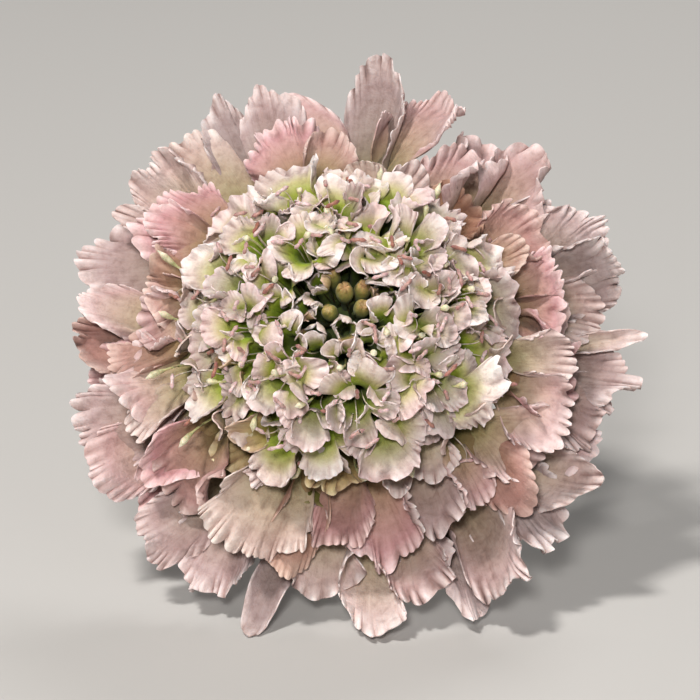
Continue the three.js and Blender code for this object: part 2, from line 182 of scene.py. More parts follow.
def ramp(tree, source, stops):
    """A colour ramp on a value, from (position, hex colour) stops."""
    made = node(tree, "ValToRGB", [(0, source)])
    while len(made.color_ramp.elements) < len(stops):
        made.color_ramp.elements.new(0.5)
    for element, (position, colour) in zip(made.color_ramp.elements, stops):
        element.position, element.color = position, linear(colour)
    return made.outputs[0]


def mix(tree, share, a, b, blend="MIX"):
    """Two colours mixed by a share. Each is a socket or a hex code."""
    made = node(tree, "Mix", data_type="RGBA", blend_type=blend)
    for index, value in ((0, share), (6, a), (7, b)):
        if isinstance(value, str):
            made.inputs[index].default_value = linear(value)
        elif isinstance(value, float):
            made.inputs[index].default_value = value
        else:
            tree.links.new(value, made.inputs[index])
    return made.outputs[2]


def math_node(tree, operation, a, b=0.0):
    made = node(tree, "Math", operation=operation, in_2=0.5)
    for index, value in ((0, a), (1, b)):
        if isinstance(value, (int, float)):
            made.inputs[index].default_value = value
        else:
            tree.links.new(value, made.inputs[index])
    return made.outputs[0]


def new_material(name, roughness, **sockets):
    material = bpy.data.materials.new(name)
    material.use_nodes = True
    shader = material.node_tree.nodes["Principled BSDF"]
    shader.inputs["Roughness"].default_value = roughness
    for socket, value in sockets.items():
        shader.inputs[socket.replace("_", " ")].default_value = value
    return material, material.node_tree, shader


def petal_material(name, veined, cream, pink, olive, grey):
    """A petal: a ramp of colours from throat to tip for each of four tones, with veins, painted crease shade
    and a soft bloom.
    """
    material, tree, shader = new_material(
        name, 0.55, Subsurface_Weight=0.2, Subsurface_Scale=0.0002, Subsurface_Anisotropy=0.2,
        Specular_IOR_Level=0.3, Sheen_Weight=0.1, Sheen_Roughness=0.5,
    )
    shader.inputs["Subsurface Radius"].default_value = (1.0, 0.75, 0.6)
    uv = node(tree, "UVMap", uv_map="petal")
    parts = node(tree, "SeparateXYZ", [(0, uv.outputs[0])]).outputs
    tone = node(tree, "Attribute", attribute_name="tone")
    tones = node(tree, "SeparateColor", [(0, tone.outputs["Color"])]).outputs
    # Veins run up the petal like the ribs of a fan, one to every 0.4 mm or so of the margin.
    place = node(tree, "Mapping", [(0, uv.outputs[0])])
    place.inputs["Scale"].default_value = (34, 1.6, 1)
    shift = node(tree, "CombineXYZ", [(2, math_node(tree, "MULTIPLY", tones[0], 40.0))])
    tree.links.new(shift.outputs[0], place.inputs["Location"])
    veins = node(tree, "TexNoise", [(0, place.outputs[0])], in_2=1.0, in_3=2.0, in_4=0.6)
    # Over them lie soft blotches and dents a millimetre or two wide, and the grain of the single cells.
    object_place = node(tree, "TexCoord").outputs["Object"]
    mottle = node(tree, "TexNoise", [(0, object_place)], in_2=850.0, in_3=5.0, in_4=0.6)
    grain = node(tree, "TexNoise", [(0, object_place)], in_2=4500.0, in_3=2.0)

    colour = mix(tree, tones[0], ramp(tree, parts[1], cream), ramp(tree, parts[1], pink))
    colour = mix(tree, tones[2], colour, ramp(tree, parts[1], grey))
    colour = mix(tree, tones[1], colour, ramp(tree, parts[1], olive))
    # Lobes with both pink and olive in their tone are multiplied towards a dusky rose-brown. These darker tones
    # stand partly for aged lobes and partly for painted shade on lobes deep among the others.
    aged_and_shade_brown = math_node(tree, "MULTIPLY", tones[0], tones[1])
    colour = mix(tree, aged_and_shade_brown, colour, "#b98476", "MULTIPLY")
    streak = ramp(tree, veins.outputs[0], [(0.3, "#c9b3aa"), (0.5, "#ffffff"), (0.72, "#fff6f0")])
    colour = mix(tree, veined, colour, streak, "MULTIPLY")
    patchy = ramp(tree, mottle.outputs[0], [(0.32, "#c8bab6"), (0.5, "#f1eae8"), (0.66, "#ffffff")])
    colour = mix(tree, 0.6, colour, patchy, "MULTIPLY")
    # Painted shade and highlight: by the crease value in the tone's alpha, the creases between the folds are
    # painted darker and the crests of the folds paler.
    folds = [(0.05, "#66504c"), (0.3, "#b09a95"), (0.55, "#e8dfdd"), (0.82, "#ffffff")]
    colour = mix(tree, 0.85, colour, ramp(tree, tone.outputs["Alpha"], folds), "MULTIPLY")
    tree.links.new(colour, shader.inputs["Base Color"])
    height = math_node(tree, "ADD", math_node(tree, "MULTIPLY", veins.outputs[0], 0.25), mottle.outputs[0])
    height = math_node(tree, "ADD", height, math_node(tree, "MULTIPLY", grain.outputs[0], 0.16))
    bump = node(tree, "Bump", [("Height", height)])
    bump.inputs["Strength"].default_value = 0.5
    bump.inputs["Distance"].default_value = 0.0006
    tree.links.new(bump.outputs[0], shader.inputs["Normal"])
    return material


print("material helpers are ready")

# %% Petal materials
# Petal of the outer florets: soft tissue that lay pleated in the bud and opened thin. It gives a velvety bloom;
# its pale crests and dark creases are painted highlight and painted shade. The ramps are cream, pink, olive and
# grey, from the tube to the margin. Each darkens towards the tube, partly for the greener claw and partly as
# painted shade where lobes lie deep under others, and each ends in a pale stop at the margin, a painted
# highlight.
RAY_PETAL = petal_material(
    "ray petal, thin pleated tissue", 0.22,
    [(0.3, "#515b1c"), (0.5, "#767b36"), (0.6, "#aaa678"), (0.74, "#cbc0a6"),
     (0.92, "#decdc8"), (1.0, "#fdf3f0")],
    [(0.3, "#515b1c"), (0.5, "#777034"), (0.62, "#a08862"), (0.76, "#c09c8e"),
     (0.92, "#d8aaae"), (1.0, "#fce4e4")],
    [(0.3, "#4d5420"), (0.5, "#6d6a2a"), (0.62, "#928842"), (0.8, "#ae9c60"),
     (0.96, "#cdbb88"), (1.0, "#e2d5aa")],
    [(0.3, "#515b1c"), (0.5, "#6c6b38"), (0.61, "#8c846c"), (0.75, "#a39791"),
     (0.92, "#bcaead"), (1.0, "#f2eae8")],
)
# Petal of the inner florets: the same tissue, still young and cupped. It gives a cream glow over green throats.
DISC_PETAL = petal_material(
    "inner petal, thin cupped tissue", 0.12,
    [(0.25, "#6f8c1a"), (0.53, "#8aa828"), (0.64, "#a8ba4a"), (0.75, "#d3d49c"),
     (0.87, "#f6eee4"), (1.0, "#fffaf8")],
    [(0.25, "#6f8c1a"), (0.53, "#8aa828"), (0.64, "#a6b24c"), (0.76, "#d6c9a2"),
     (0.89, "#f1dcd8"), (1.0, "#f8d6da")],
    [(0.2, "#4a5a10"), (0.5, "#707a24"), (0.62, "#8f8a3a"), (0.74, "#a99a58"),
     (0.93, "#bca277"), (1.0, "#e0c8b0")],
    [(0.25, "#657f1c"), (0.53, "#7f9630"), (0.65, "#9da466"), (0.78, "#beb8a2"),
     (0.93, "#d6cbc6"), (1.0, "#efe0df")],
)
print("petals:", RAY_PETAL.name, "|", DISC_PETAL.name)

# %% [markdown]
# ## How a floret is made
# A petal lobe is a sheet, so it starts from a flat grid, the blank. Across the blank goes U, from side to
# side, and up it goes V, from the foot of the tube (-1) over the mouth (0) to the tip (1). A formula lays the
# blank on its floret: round the tube below the mouth, and along a curved spine above it. The pleats, the
# waves and the small teeth of the margin are folded in there, because no brush could set them as evenly. The
# blanks of one floret share the points of its tube, and are merged there.


# %% The blank
def clear_selection():
    bpy.ops.object.select_all(action="DESELECT")


def flat_grid(columns, rows):
    """The points of a flat grid, from -1 to 1 each way, and its faces."""
    clear_selection()
    bpy.ops.mesh.primitive_grid_add(x_subdivisions=columns, y_subdivisions=rows, size=2)
    grid = bpy.context.object
    points = np.array([v.co[:2] for v in grid.data.vertices])
    faces = np.array([p.vertices[:] for p in grid.data.polygons])
    bpy.data.objects.remove(grid)
    return points, faces


def make_blank(name, columns, tube_rows, lobe_rows):
    """A flat grid whose rows are spread over the tube and the lobe. Returns its U, V and its faces."""
    points, faces = flat_grid(columns, tube_rows + lobe_rows)
    row = np.rint((points[:, 1] + 1) / 2 * (tube_rows + lobe_rows))
    v = np.where(row < tube_rows, row / tube_rows - 1, (row - tube_rows) / lobe_rows)
    v = np.where(v > 0, 1 - (1 - v) ** 1.25, v)
    print(name, "blank:", len(points), "points,", len(faces), "faces")
    return points[:, 0], v, faces


LARGE_BLANK = make_blank("large", 116, 2, 12)
NARROW_BLANK = make_blank("narrow", 76, 2, 11)
MIDDLE_BLANK = make_blank("middle", 28, 3, 9)
SMALL_BLANK = make_blank("small", 18, 4, 7)


# %% Laying a blank on its floret
def floret_frame(azimuth, polar, distance):
    """The axis of a floret that radiates from the middle of the dome, the way out, the side and the mouth."""
    p = math.radians(polar)
    axis = head_point(azimuth, math.sin(p), math.cos(p))
    out = head_point(azimuth, math.cos(p), -math.sin(p))
    return axis, out, np.cross(axis, out), DOME_CENTRE + axis * distance


def hills(x, y, seed):
    """Smooth random hills from -1 to 1, one or so to each unit square, the same ones for the same seed."""
    i, j = np.floor(x), np.floor(y)
    f, g = x - i, y - j
    f, g = f**3 * (f * (f * 6 - 15) + 10), g**3 * (g * (g * 6 - 15) + 10)

    def corner(a, b):
        h = np.sin((i + a) * 127.1 + (j + b) * 311.7 + seed * 74.7) * 43758.5453
        return (h - np.floor(h)) * 2 - 1

    low, high = corner(0, 0) * (1 - f) + corner(1, 0) * f, corner(0, 1) * (1 - f) + corner(1, 1) * f
    return low * (1 - g) + high * g


def spine_points(start, bend, end, w):
    w = w[:, None]
    point = (1 - w) ** 2 * start + 2 * w * (1 - w) * bend + w**2 * end
    tangent = unit(2 * (1 - w) * (bend - start) + 2 * w * (end - bend))
    return point, tangent


FAN_ANGLE = 2.1  # how far round the fan its margin runs to each side, in radians


def fan(u, w, lobe, length, seed):
    """A fan laid flat, whose ribs run from its claw to a round ragged margin, with its folds as height and a
    crease value for painted shade.
    """
    half, belly = lobe["width"] / 2, lobe["belly"] * length
    around = u * FAN_ANGLE
    edge_x, edge_y = half * np.sin(around), belly + (length - belly) * np.cos(around)
    # Folds run from the margin inwards: round ridges with sharp creases, of uneven width and depth.
    across = lobe["folds"] * u / 2
    phase = across + 0.7 * hills(0.5 * across, 1.3 * w, seed) + 0.35 * hills(1.2 * across, 2.5 * w, seed + 9)
    ridge = 1.5 * np.abs(np.sin(math.pi * phase)) - 1
    depth = 0.35 + 1.0 * np.abs(hills(0.33 * across + 3, 0.8 * w, seed + 1))
    broad = hills(0.3 * across, 1.1 * w, seed + 2)
    slow = hills(1.2 * u + 9, 0.9 * w, seed + 3)
    inside = (1 - w) * length
    span = np.minimum(2.9 + 1.7 * hills(0.45 * across, 0 * u, seed + 11), 0.55 * length)
    reach = 0.04 * smooth(0.1, 0.5, w) + smooth(0, 1, 1 - inside / span)
    # The margin: slow swings, uneven lobules with notches between them, and a small tooth to each ridge.
    swing = 0.08 * hills(1.6 * u, 0 * u, seed + 4) - 0.02
    lobule = 1.6 * np.abs(hills(0.5 * across, 0 * u + 3, seed + 6)) ** 0.7 - 0.7
    tooth = ridge * (0.4 + 0.6 * depth) + 0.3 * hills(1.4 * across, 0 * u + 5, seed + 7)
    frayed = lobe["lobule"] * (lobule - 0.35) + lobe["tooth"] * (tooth - 0.3)
    grown = 1 + swing * w**2 + frayed * smooth(0, 1, 1 - inside / min(4.5, 0.6 * length)) / length
    x = lobe["claw"] * u * (1 - w) * smooth(0, 0.3, w) + w * edge_x * grown
    y = w * edge_y * grown
    z = lobe["pleat"] * ridge * depth * reach
    z = z + lobe["fold"] * broad * smooth(0, 1, 1 - inside / min(7, 0.8 * length))
    z = z + lobe["wave"] * slow * smooth(0.1, 0.9, w)
    z = z + 0.8 * lobe["fold"] * hills(0.55 * across + 7, 0 * u, seed + 12) * smooth(0, 1, 1 - inside / 1.8)
    x = x + 0.6 * lobe["fold"] * hills(0.4 * across + 4, 1.3 * w, seed + 8) * smooth(0.5, 1, w)
    # Each side margin curls up or down by its own amount.
    curl = np.where(u > 0, *lobe["curl"]) * smooth(0.5, 1, np.abs(u)) * smooth(0.15, 0.6, w)
    curl = curl * (1 + 0.7 * hills(3 * w, np.sign(u), seed + 13))
    x, z = x - 0.4 * np.sign(u) * np.abs(curl), z + curl
    # Painted shade and highlight: a crease value, low in the creases and high on the crests and raised folds,
    # which the petal material turns into darker creases and paler crests.
    shade_relief = 0.5 * ridge * depth * reach + 0.2 * broad * smooth(0.2, 0.8, w)
    crease_shade = np.clip(0.6 + lobe["shade"] * shade_relief, 0, 1)
    # Rolled about its length, like a trumpet, and bent back at its tip.
    roll = lobe["roll"] if abs(lobe["roll"]) > 0.01 else 0.01
    bent = roll * x / half
    x, z = half / roll * np.sin(bent) - z * np.sin(bent), half / roll * (1 - np.cos(bent)) + z * np.cos(bent)
    return x, y, z - lobe["recurve"] * length * smooth(0.35, 1.2, y / length) ** 2, crease_shade


def lay_lobe(blank, floret, lobe, seed):
    """The points of one lobe with its share of the tube, in the head's millimetres, and the crease value for
    its painted shade.
    """
    u, v, _ = blank
    axis, out, side, mouth = floret["frame"]
    throat = floret["throat"]
    angle, sector = math.radians(lobe["angle"]), math.radians(lobe["sector"])

    # The tube, below the mouth.
    s = np.clip(v + 1, 0, 1)
    radius = floret["foot"] + (throat - floret["foot"]) * s**1.8
    turned = angle + u * sector
    round_tube = np.outer(np.cos(turned), out) + np.outer(np.sin(turned), side)
    tube = DOME_CENTRE + axis * floret["root"] + np.outer(s, axis * (floret["distance"] - floret["root"]))
    tube = tube + round_tube * radius[:, None]

    # The blade, above it. Its first part is still curved like the tube.
    w = np.clip(v, 0, 1)
    away = out * math.cos(angle) + side * math.sin(angle)
    start = mouth + away * throat
    length = np.linalg.norm(lobe["tip"] - start)
    bend = start + axis * length * lobe["rise"] + away * length * lobe["flare"]
    x, y, z, crease_shade = fan(u, w, lobe, length, seed)
    tubular = 1 - smooth(0, 0.45, w)
    x = x + tubular * throat * np.sin(u * sector)
    z = z * smooth(0, 0.3, w) + tubular * throat * (1 - np.cos(u * sector))
    point, tangent = spine_points(start, bend, lobe["tip"], y / length)
    open_up = smooth(0, 0.7, w)[:, None]
    across = (1 - open_up) * np.cross(axis, away) + open_up * unit(np.cross(lobe["facing"], tangent))
    across = unit(across - tangent * np.sum(across * tangent, axis=1)[:, None])
    normal = np.cross(tangent, across)
    blade = point + across * x[:, None] + normal * z[:, None]
    return np.where((v <= 0)[:, None], tube, blade), np.where(v <= 0, 0.5, crease_shade)


print("a lobe has its own spine, width, pleats, teeth, frill and roll")


# %% Gathering shapes into one piece
class Shapes:
    """Collects points in the head's millimetres with their faces, and makes one mesh of them."""

    def __init__(self):
        self.points, self.faces, self.uvs, self.tones, self.count = [], [], [], [], 0

    def add(self, points, faces, uv, tone=(0, 0, 0), crease_shade=0.5):
        self.points.append(points)
        self.faces.append(faces + self.count)
        self.uvs.append(uv)
        # The fourth channel of the tone holds the crease value for painted shade, 0.5 where there is none.
        crease_shades = np.broadcast_to(crease_shade, len(points))
        self.tones.append(np.column_stack([np.tile(tone, (len(points), 1)), crease_shades]))
        self.count += len(points)

    def add_tube(self, points, template, tone=(0, 0, 0)):
        self.add(points, template[2], template[3], tone)

    def add_lobe(self, laid, blank, tone):
        (points, crease_shade), (u, v, faces) = laid, blank
        self.add(points, faces, np.stack([u * 0.5 + 0.5, (v + 1) / 2], axis=1), tone, crease_shade)


def lift_off_floor(world_points, low):
    """Bends what would go under the table up on to it."""
    soft = 0.5 * MM
    z = world_points[:, 2] - low
    bent = soft * np.logaddexp(0, z / soft)
    world_points[:, 2] = np.where(z < 4 * soft, bent, z) + low
    return world_points


def mesh_piece(name, shapes, material, nodes, thickness=0.0, body="root"):
    """One object from all the shapes: merged where they touch, given its thickness, and smoothed."""
    points = lift_off_floor(to_world(np.concatenate(shapes.points)), 0.15 * MM)
    faces = np.concatenate(shapes.faces)
    mesh = bpy.data.meshes.new(name)
    mesh.from_pydata(points.tolist(), [], faces.tolist())
    uv = mesh.uv_layers.new(name="petal")
    corners = np.concatenate(shapes.uvs)[faces.ravel()]
    uv.data.foreach_set("uv", corners.ravel().astype(np.float32))
    tone = mesh.color_attributes.new("tone", "FLOAT_COLOR", "POINT")
    tone.data.foreach_set("color", np.concatenate(shapes.tones).ravel().astype(np.float32))
    made = bpy.data.objects.new(name, mesh)
    bpy.context.scene.collection.objects.link(made)
    clear_selection()
    made.select_set(True)
    bpy.context.view_layer.objects.active = made
    bpy.ops.object.mode_set(mode="EDIT")
    bpy.ops.mesh.select_all(action="SELECT")
    bpy.ops.mesh.remove_doubles(threshold=0.004 * MM)
    if not thickness:
        bpy.ops.mesh.normals_make_consistent(inside=False)
    bpy.ops.object.mode_set(mode="OBJECT")
    if thickness:
        solid = made.modifiers.new("thickness", "SOLIDIFY")
        solid.thickness, solid.offset = thickness * MM, 0
        bpy.ops.object.modifier_apply(modifier="thickness")
    bpy.ops.object.shade_smooth_by_angle(angle=math.radians(70))
    made.data.materials.append(material)
    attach(made, body)
    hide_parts(*nodes)
    triangles = sum(len(p.vertices) - 2 for p in made.data.polygons)
    print(f"{name}: {triangles} triangles")


print("shapes gather into pieces")

# %% [markdown]
# ## Ray florets
# The large outer florets have up to three broad lobes that lie outwards, and two small ones that stand up at
# the inner side of the mouth. The lowest whorl makes the flower's outline, and each of its lobes differs: some
# are broad fans, some are narrow and folded. The whorl above it is shorter, stands up more and is as varied, so
# the lobes of both are listed one by one. Each whorl is meshed in two halves, right and left.

# %% The tones and forms of lobes
TONES = {  # share of pink, of olive, and of grey
    "white": (0.0, 0.0, 0.0), "cream": (0.1, 0.12, 0.1), "blush": (0.4, 0.0, 0.05), "pink": (0.9, 0.0, 0.0),
    "mauve": (0.35, 0.0, 0.6), "grey": (0.05, 0.0, 0.95), "peach": (0.6, 0.3, 0.0), "rose": (0.95, 0.15, 0.25),
    "brown": (1.0, 0.45, 0.3), "olive": (0.0, 0.9, 0.0),
}
FORMS = {  # how far along the lobe is widest, half the width of its claw in mm, roll in radians, bend back
    "fan": (0.65, 1.4, 0.15, 0.04), "trumpet": (0.65, 1.1, 0.75, 0.1), "strap": (0.55, 2.2, 0.3, 0.0),
    "shell": (0.6, 0.7, -0.7, 0.1), "hood": (0.58, 1.2, 0.8, -0.12),
}


def lobe_of(tip, width, form, angle, sector, seed, facing, rise, flare):
    """A lobe's measures, from its form and width with small changes of its own."""
    belly, claw, roll, recurve = FORMS[form]
    broad, fine = min(width / 8, 1.1), 1.15 + 1.05 * chance(seed + 12)
    return {
        "tip": tip, "width": width, "angle": angle, "sector": sector, "facing": facing,
        "rise": rise, "flare": flare, "belly": belly + play(seed + 3, 0.03), "claw": min(claw, width / 3),
        "roll": roll + play(seed + 7, 0.55), "recurve": recurve + play(seed + 8, 0.14),
        "folds": fine * width / (0.7 + 0.3 * broad),
        "curl": (play(seed + 9, 1.7) * broad, play(seed + 10, 1.7) * broad),
        "tooth": 0.5 / fine * broad**1.2, "lobule": 1.2 / fine * broad**1.3,
        "pleat": 1.0 / fine * broad**1.7 * (1 + play(seed + 5, 0.2)),
        "fold": 1.2 * broad**1.8 * (1 + play(seed + 6, 0.4)), "wave": 1.6 * broad**1.2,
        "shade": min(0.35 + 0.65 * broad, 1),
    }


def add_floret(sheets, frame_, throat, distance, root, lobes, blanks, tones, seed, foot=0.7):
    """Adds the lobes of one floret, which share its tube."""
    floret = {"frame": frame_, "throat": throat, "distance": distance, "root": root, "foot": foot}
    for j, (lobe, blank, tone) in enumerate(zip(lobes, blanks, tones)):
        strayed = [t + play(seed + 31 * j + i, 0.12) if t else t for i, t in enumerate(TONES[tone])]
        sheets.add_lobe(lay_lobe(blank, floret, lobe, seed % 17 + j * 1.7), blank, np.clip(strayed, 0, 1))


print(len(TONES), "tones,", len(FORMS), "forms")

# %% Where the lobes of the lowest whorl point
LOWEST = {"distance": 19.8, "throat": 1.9, "levels": (4.6, 6.6, 2.6), "inner": (2.2, 72), "seed": 900}
LOWEST_WHORL = [  # polar angle, then azimuth, reach, width, tone and form of each lobe
    (95, [(-15, 32.2, 8, "mauve", "fan"), (-3.2, 33.5, 7.7, "mauve", "fan"), (5.2, 35, 3, "white", "trumpet")]),
    (93, [(9, 30.1, 6.5, "white", "fan"), (19, 35.1, 8.8, "grey", "fan"),
          (29.8, 33.3, 7.5, "mauve", "trumpet")]),
    (97, [(39, 30.6, 4, "mauve", "trumpet"), (48.9, 34, 7.2, "blush", "fan"),
          (61, 30.8, 6.4, "blush", "trumpet")]),
    (94, [(70, 33.4, 9, "blush", "fan"), (86.6, 37.1, 6.8, "grey", "strap"),
          (105.5, 32.5, 3.6, "blush", "trumpet")]),
    (96, [(111.5, 35, 6.5, "mauve", "fan"), (121.5, 35.8, 6.5, "grey", "strap"),
          (133, 35, 7.6, "cream", "shell")]),
    (98, [(138, 35.7, 7.5, "white", "fan"), (151.3, 33.8, 3.5, "white", "trumpet"),
          (160.5, 34.7, 9.5, "mauve", "fan")]),
    (95, [(172, 34.9, 5.5, "blush", "fan"), (180.5, 34.4, 7.6, "rose", "fan"),
          (190, 31.8, 6, "pink", "trumpet")]),
    (97, [(200.5, 35.3, 8.5, "mauve", "fan"), (211, 34.8, 8, "blush", "fan"),
          (220, 31.4, 5, "pink", "trumpet")]),
    (95, [(226.5, 35.8, 6.6, "mauve", "fan"), (240, 35, 8.2, "mauve", "fan")]),
    (92, [(254, 37.2, 3.8, "grey", "strap"), (268, 30.7, 6.5, "white", "fan")]),
    (93, [(277.2, 35.6, 7, "white", "fan"), (289.5, 33.1, 7.5, "blush", "fan")]),
    (95, [(296, 36, 6, "mauve", "trumpet"), (308.5, 37, 8.2, "mauve", "fan")]),
    (97, [(320, 34.2, 8, "grey", "fan"), (332.5, 33.4, 6, "white", "fan"), (337.5, 32.6, 5.5, "blush", "fan")]),
]
print("lowest whorl:", sum(len(lobes) for _, lobes in LOWEST_WHORL), "lobes")

# %% Where the lobes of the upper whorl point
UPPER = {"polar": 77, "throat": 1.9, "inner": (4, 26), "seed": 3000}
UPPER_WHORL = [  # azimuth, then azimuth, reach, level, width, tone and form of each lobe
    (14, [(15, 27.6, 10, 9.5, "pink", "fan"), (2.2, 27.2, 8, 5.8, "rose", "fan")]),
    (36, [(34, 26.8, 9, 6.5, "rose", "trumpet"), (26.5, 24, 12.4, 4.5, "peach", "trumpet")]),
    (58, [(61, 27.5, 9.6, 7.5, "blush", "trumpet"), (49, 22.8, 10, 6, "brown", "hood")]),
    (80, [(70, 22.2, 13.2, 4.5, "white", "trumpet"), (88, 21, 12.6, 4.5, "cream", "fan")]),
    (108, [(109, 28.2, 9.6, 9, "pink", "shell"), (97, 26, 9, 5, "peach", "trumpet")]),
    (126, [(121, 21.6, 13, 5, "white", "trumpet")]),
    (143, [(146, 28, 9.6, 9.5, "pink", "fan"), (154.5, 27.6, 8, 6, "pink", "fan")]),
    (162, [(161.5, 26, 9.6, 7, "peach", "shell"), (169, 25.2, 9, 5, "peach", "trumpet")]),
    (179, [(175, 24.8, 10.4, 6, "blush", "trumpet"), (184, 29.5, 7.4, 8, "rose", "fan")]),
    (195, [(198, 27.6, 9.8, 9.5, "blush", "shell"), (207.5, 27.5, 8.4, 4.5, "cream", "trumpet")]),
    (217, [(218.5, 29, 8.4, 5.5, "pink", "trumpet"), (230, 29.2, 7.6, 8.5, "rose", "hood")]),
    (236, [(227, 20, 12.2, 5.5, "olive", "trumpet"), (237, 18.8, 12.4, 5, "olive", "fan")]),
    (256, [(248, 30, 9.8, 10.5, "cream", "fan"), (258, 29.6, 8, 6, "peach", "fan"),
           (242, 21.4, 13, 5, "white", "shell")]),
    (277, [(272, 26, 9, 6.5, "rose", "fan"), (283, 28.4, 8.4, 8, "pink", "fan"),
           (269, 19.8, 12.4, 6, "olive", "fan")]),
    (298, [(302, 20.6, 13.4, 6, "white", "shell"), (296, 27.4, 9, 7, "mauve", "trumpet"),
           (289, 21, 12.6, 3.5, "white", "trumpet")]),
    (320, [(310.5, 26.4, 9.8, 5, "blush", "trumpet"), (328, 28.2, 9.6, 8, "blush", "trumpet"),
           (319, 29, 8, 6, "rose", "fan")]),
    (347, [(349, 28, 9.8, 8.5, "pink", "fan"), (338.5, 27.4, 9, 8.3, "blush", "fan"),
           (357.5, 27, 9.8, 5.6, "white", "trumpet")]),
]
print("upper whorl:", sum(len(lobes) for _, lobes in UPPER_WHORL), "lobes")


# %% Ray florets
LOBE_SHARE = 62  # degrees of the mouth that a large lobe takes up
FLAT_WIDTH = 1.28  # how much wider a large lobe is laid flat than folded
LARGE_WIDTH = 8.8  # a lobe wider than this, in mm, takes the large blank
RAY = {"root": 6.2, "thickness": 0.16}


def resting_level(azimuth, reach):
    """The level at which a point of the head meets the table."""
    return -(HEAD_BASE[2] + head_point(azimuth, reach, 0)[1] * math.cos(TILT)) / math.sin(TILT)


def direction_round(frame_, tip):
    """The direction round a floret's axis in which a point lies, in degrees."""
    axis, out, side, mouth = frame_
    return math.degrees(math.atan2(np.dot(tip - mouth, side), np.dot(tip - mouth, out)))


def ray_lobe(frame_, azimuth, reach, level, width, form, angle, sector, seed):
    """A large lobe that lies outwards and faces forwards, a little turned to one side."""
    facing = FRONT + 0.5 * frame_[0] + head_point(azimuth + 90, play(seed + 9, 0.45), 0)
    tip = head_point(azimuth, reach, level)
    return lobe_of(tip, FLAT_WIDTH * width, form, angle, sector, seed, facing, 0.4, 0.14)


def small_lobe(frame_, throat, angle, sector, length, width, lift, seed, form="fan"):
    """A small lobe, given by its direction round the floret and its lift above the plane of the mouth."""
    axis, out, side, mouth = frame_
    a, e = math.radians(angle), math.radians(lift)
    away = out * math.cos(a) + side * math.sin(a)
    tip = mouth + away * (throat + length * math.cos(e)) + axis * length * math.sin(e)
    return lobe_of(tip, width, form, angle, sector, seed, axis - 0.5 * away, 0.16 + 0.4 * math.sin(e), 0.3)


def spread_evenly(azimuths, angles):
    """Directions round the mouth in the order of the lobes' azimuths, so far apart that each lobe has room."""
    order = sorted(range(len(azimuths)), key=lambda i: azimuths[i])
    middle = (angles[order[0]] + angles[order[-1]]) / 2
    return [middle + (order.index(i) - (len(order) - 1) / 2) * LOBE_SHARE for i in range(len(order))]


def ray_whorl(name, florets):
    """One piece of ray florets: frame, throat, distance, size and lift of the inner lobes, seed and lobes."""
    sheets = Shapes()
    for frame_, throat, distance, (size, lift), seed, given in florets:
        tips = [head_point(*lobe[:3]) for lobe in given]
        angles = spread_evenly([lobe[0] for lobe in given], [direction_round(frame_, tip) for tip in tips])
        middle = sum(angles) / len(angles)
        lobes = [
            ray_lobe(frame_, *lobe[:4], lobe[5], angle, LOBE_SHARE / 2, seed + 13 * j)
            for j, (lobe, angle) in enumerate(zip(given, angles))
        ]
        tones = [lobe[4] for lobe in given]
        blanks = [LARGE_BLANK if lobe["width"] > LARGE_WIDTH else NARROW_BLANK for lobe in lobes]
        gap = (360 - LOBE_SHARE * len(given)) / 2
        for turn in (-1, 1):
            angle = middle + 180 + turn * gap / 2
            raised = lift + play(seed, 12)
            lobes.append(small_lobe(frame_, throat, angle, gap / 2, size, size, raised, seed + turn))
            tones.append("cream")
            blanks.append(SMALL_BLANK)
        add_floret(sheets, frame_, throat, distance, RAY["root"], lobes, blanks, tones, seed)
    mesh_piece(name, sheets, RAY_PETAL, ["outer_florets"], RAY["thickness"])


lowest = []
for k, (polar, given) in enumerate(LOWEST_WHORL):
    frame_ = floret_frame((given[0][0] + given[-1][0]) / 2, polar, LOWEST["distance"])
    levels = [max(LOWEST["levels"][j], resting_level(*lobe[:2])) for j, lobe in enumerate(given)]
    raised = [(a, r, z, *rest) for (a, r, *rest), z in zip(given, levels)]
    measures = (LOWEST["throat"], LOWEST["distance"], LOWEST["inner"])
    lowest.append((frame_, *measures, LOWEST["seed"] + 10 * k, raised))
ray_whorl("lowest_ray_florets_right", lowest[:4] + lowest[9:])
ray_whorl("lowest_ray_florets_left", lowest[4:9])
upper = []
for k, (azimuth_, given) in enumerate(UPPER_WHORL):
    distance = min(max(min(lobe[1] for lobe in given) - 7.5, 14.5), 18)
    frame_ = floret_frame(azimuth_, UPPER["polar"], distance)
    upper.append((frame_, UPPER["throat"], distance, UPPER["inner"], UPPER["seed"] + 100 * k, given))
ray_whorl("upper_ray_florets_right", upper[:4] + upper[12:])
ray_whorl("upper_ray_florets_left", upper[4:12])

# %% [markdown]
# ## Inner florets
# Towards the middle the florets are smaller, paler and more cupped. Their mouths are wide and green inside,
# and the lobe that faces outwards is the largest. The innermost ones are just opening.

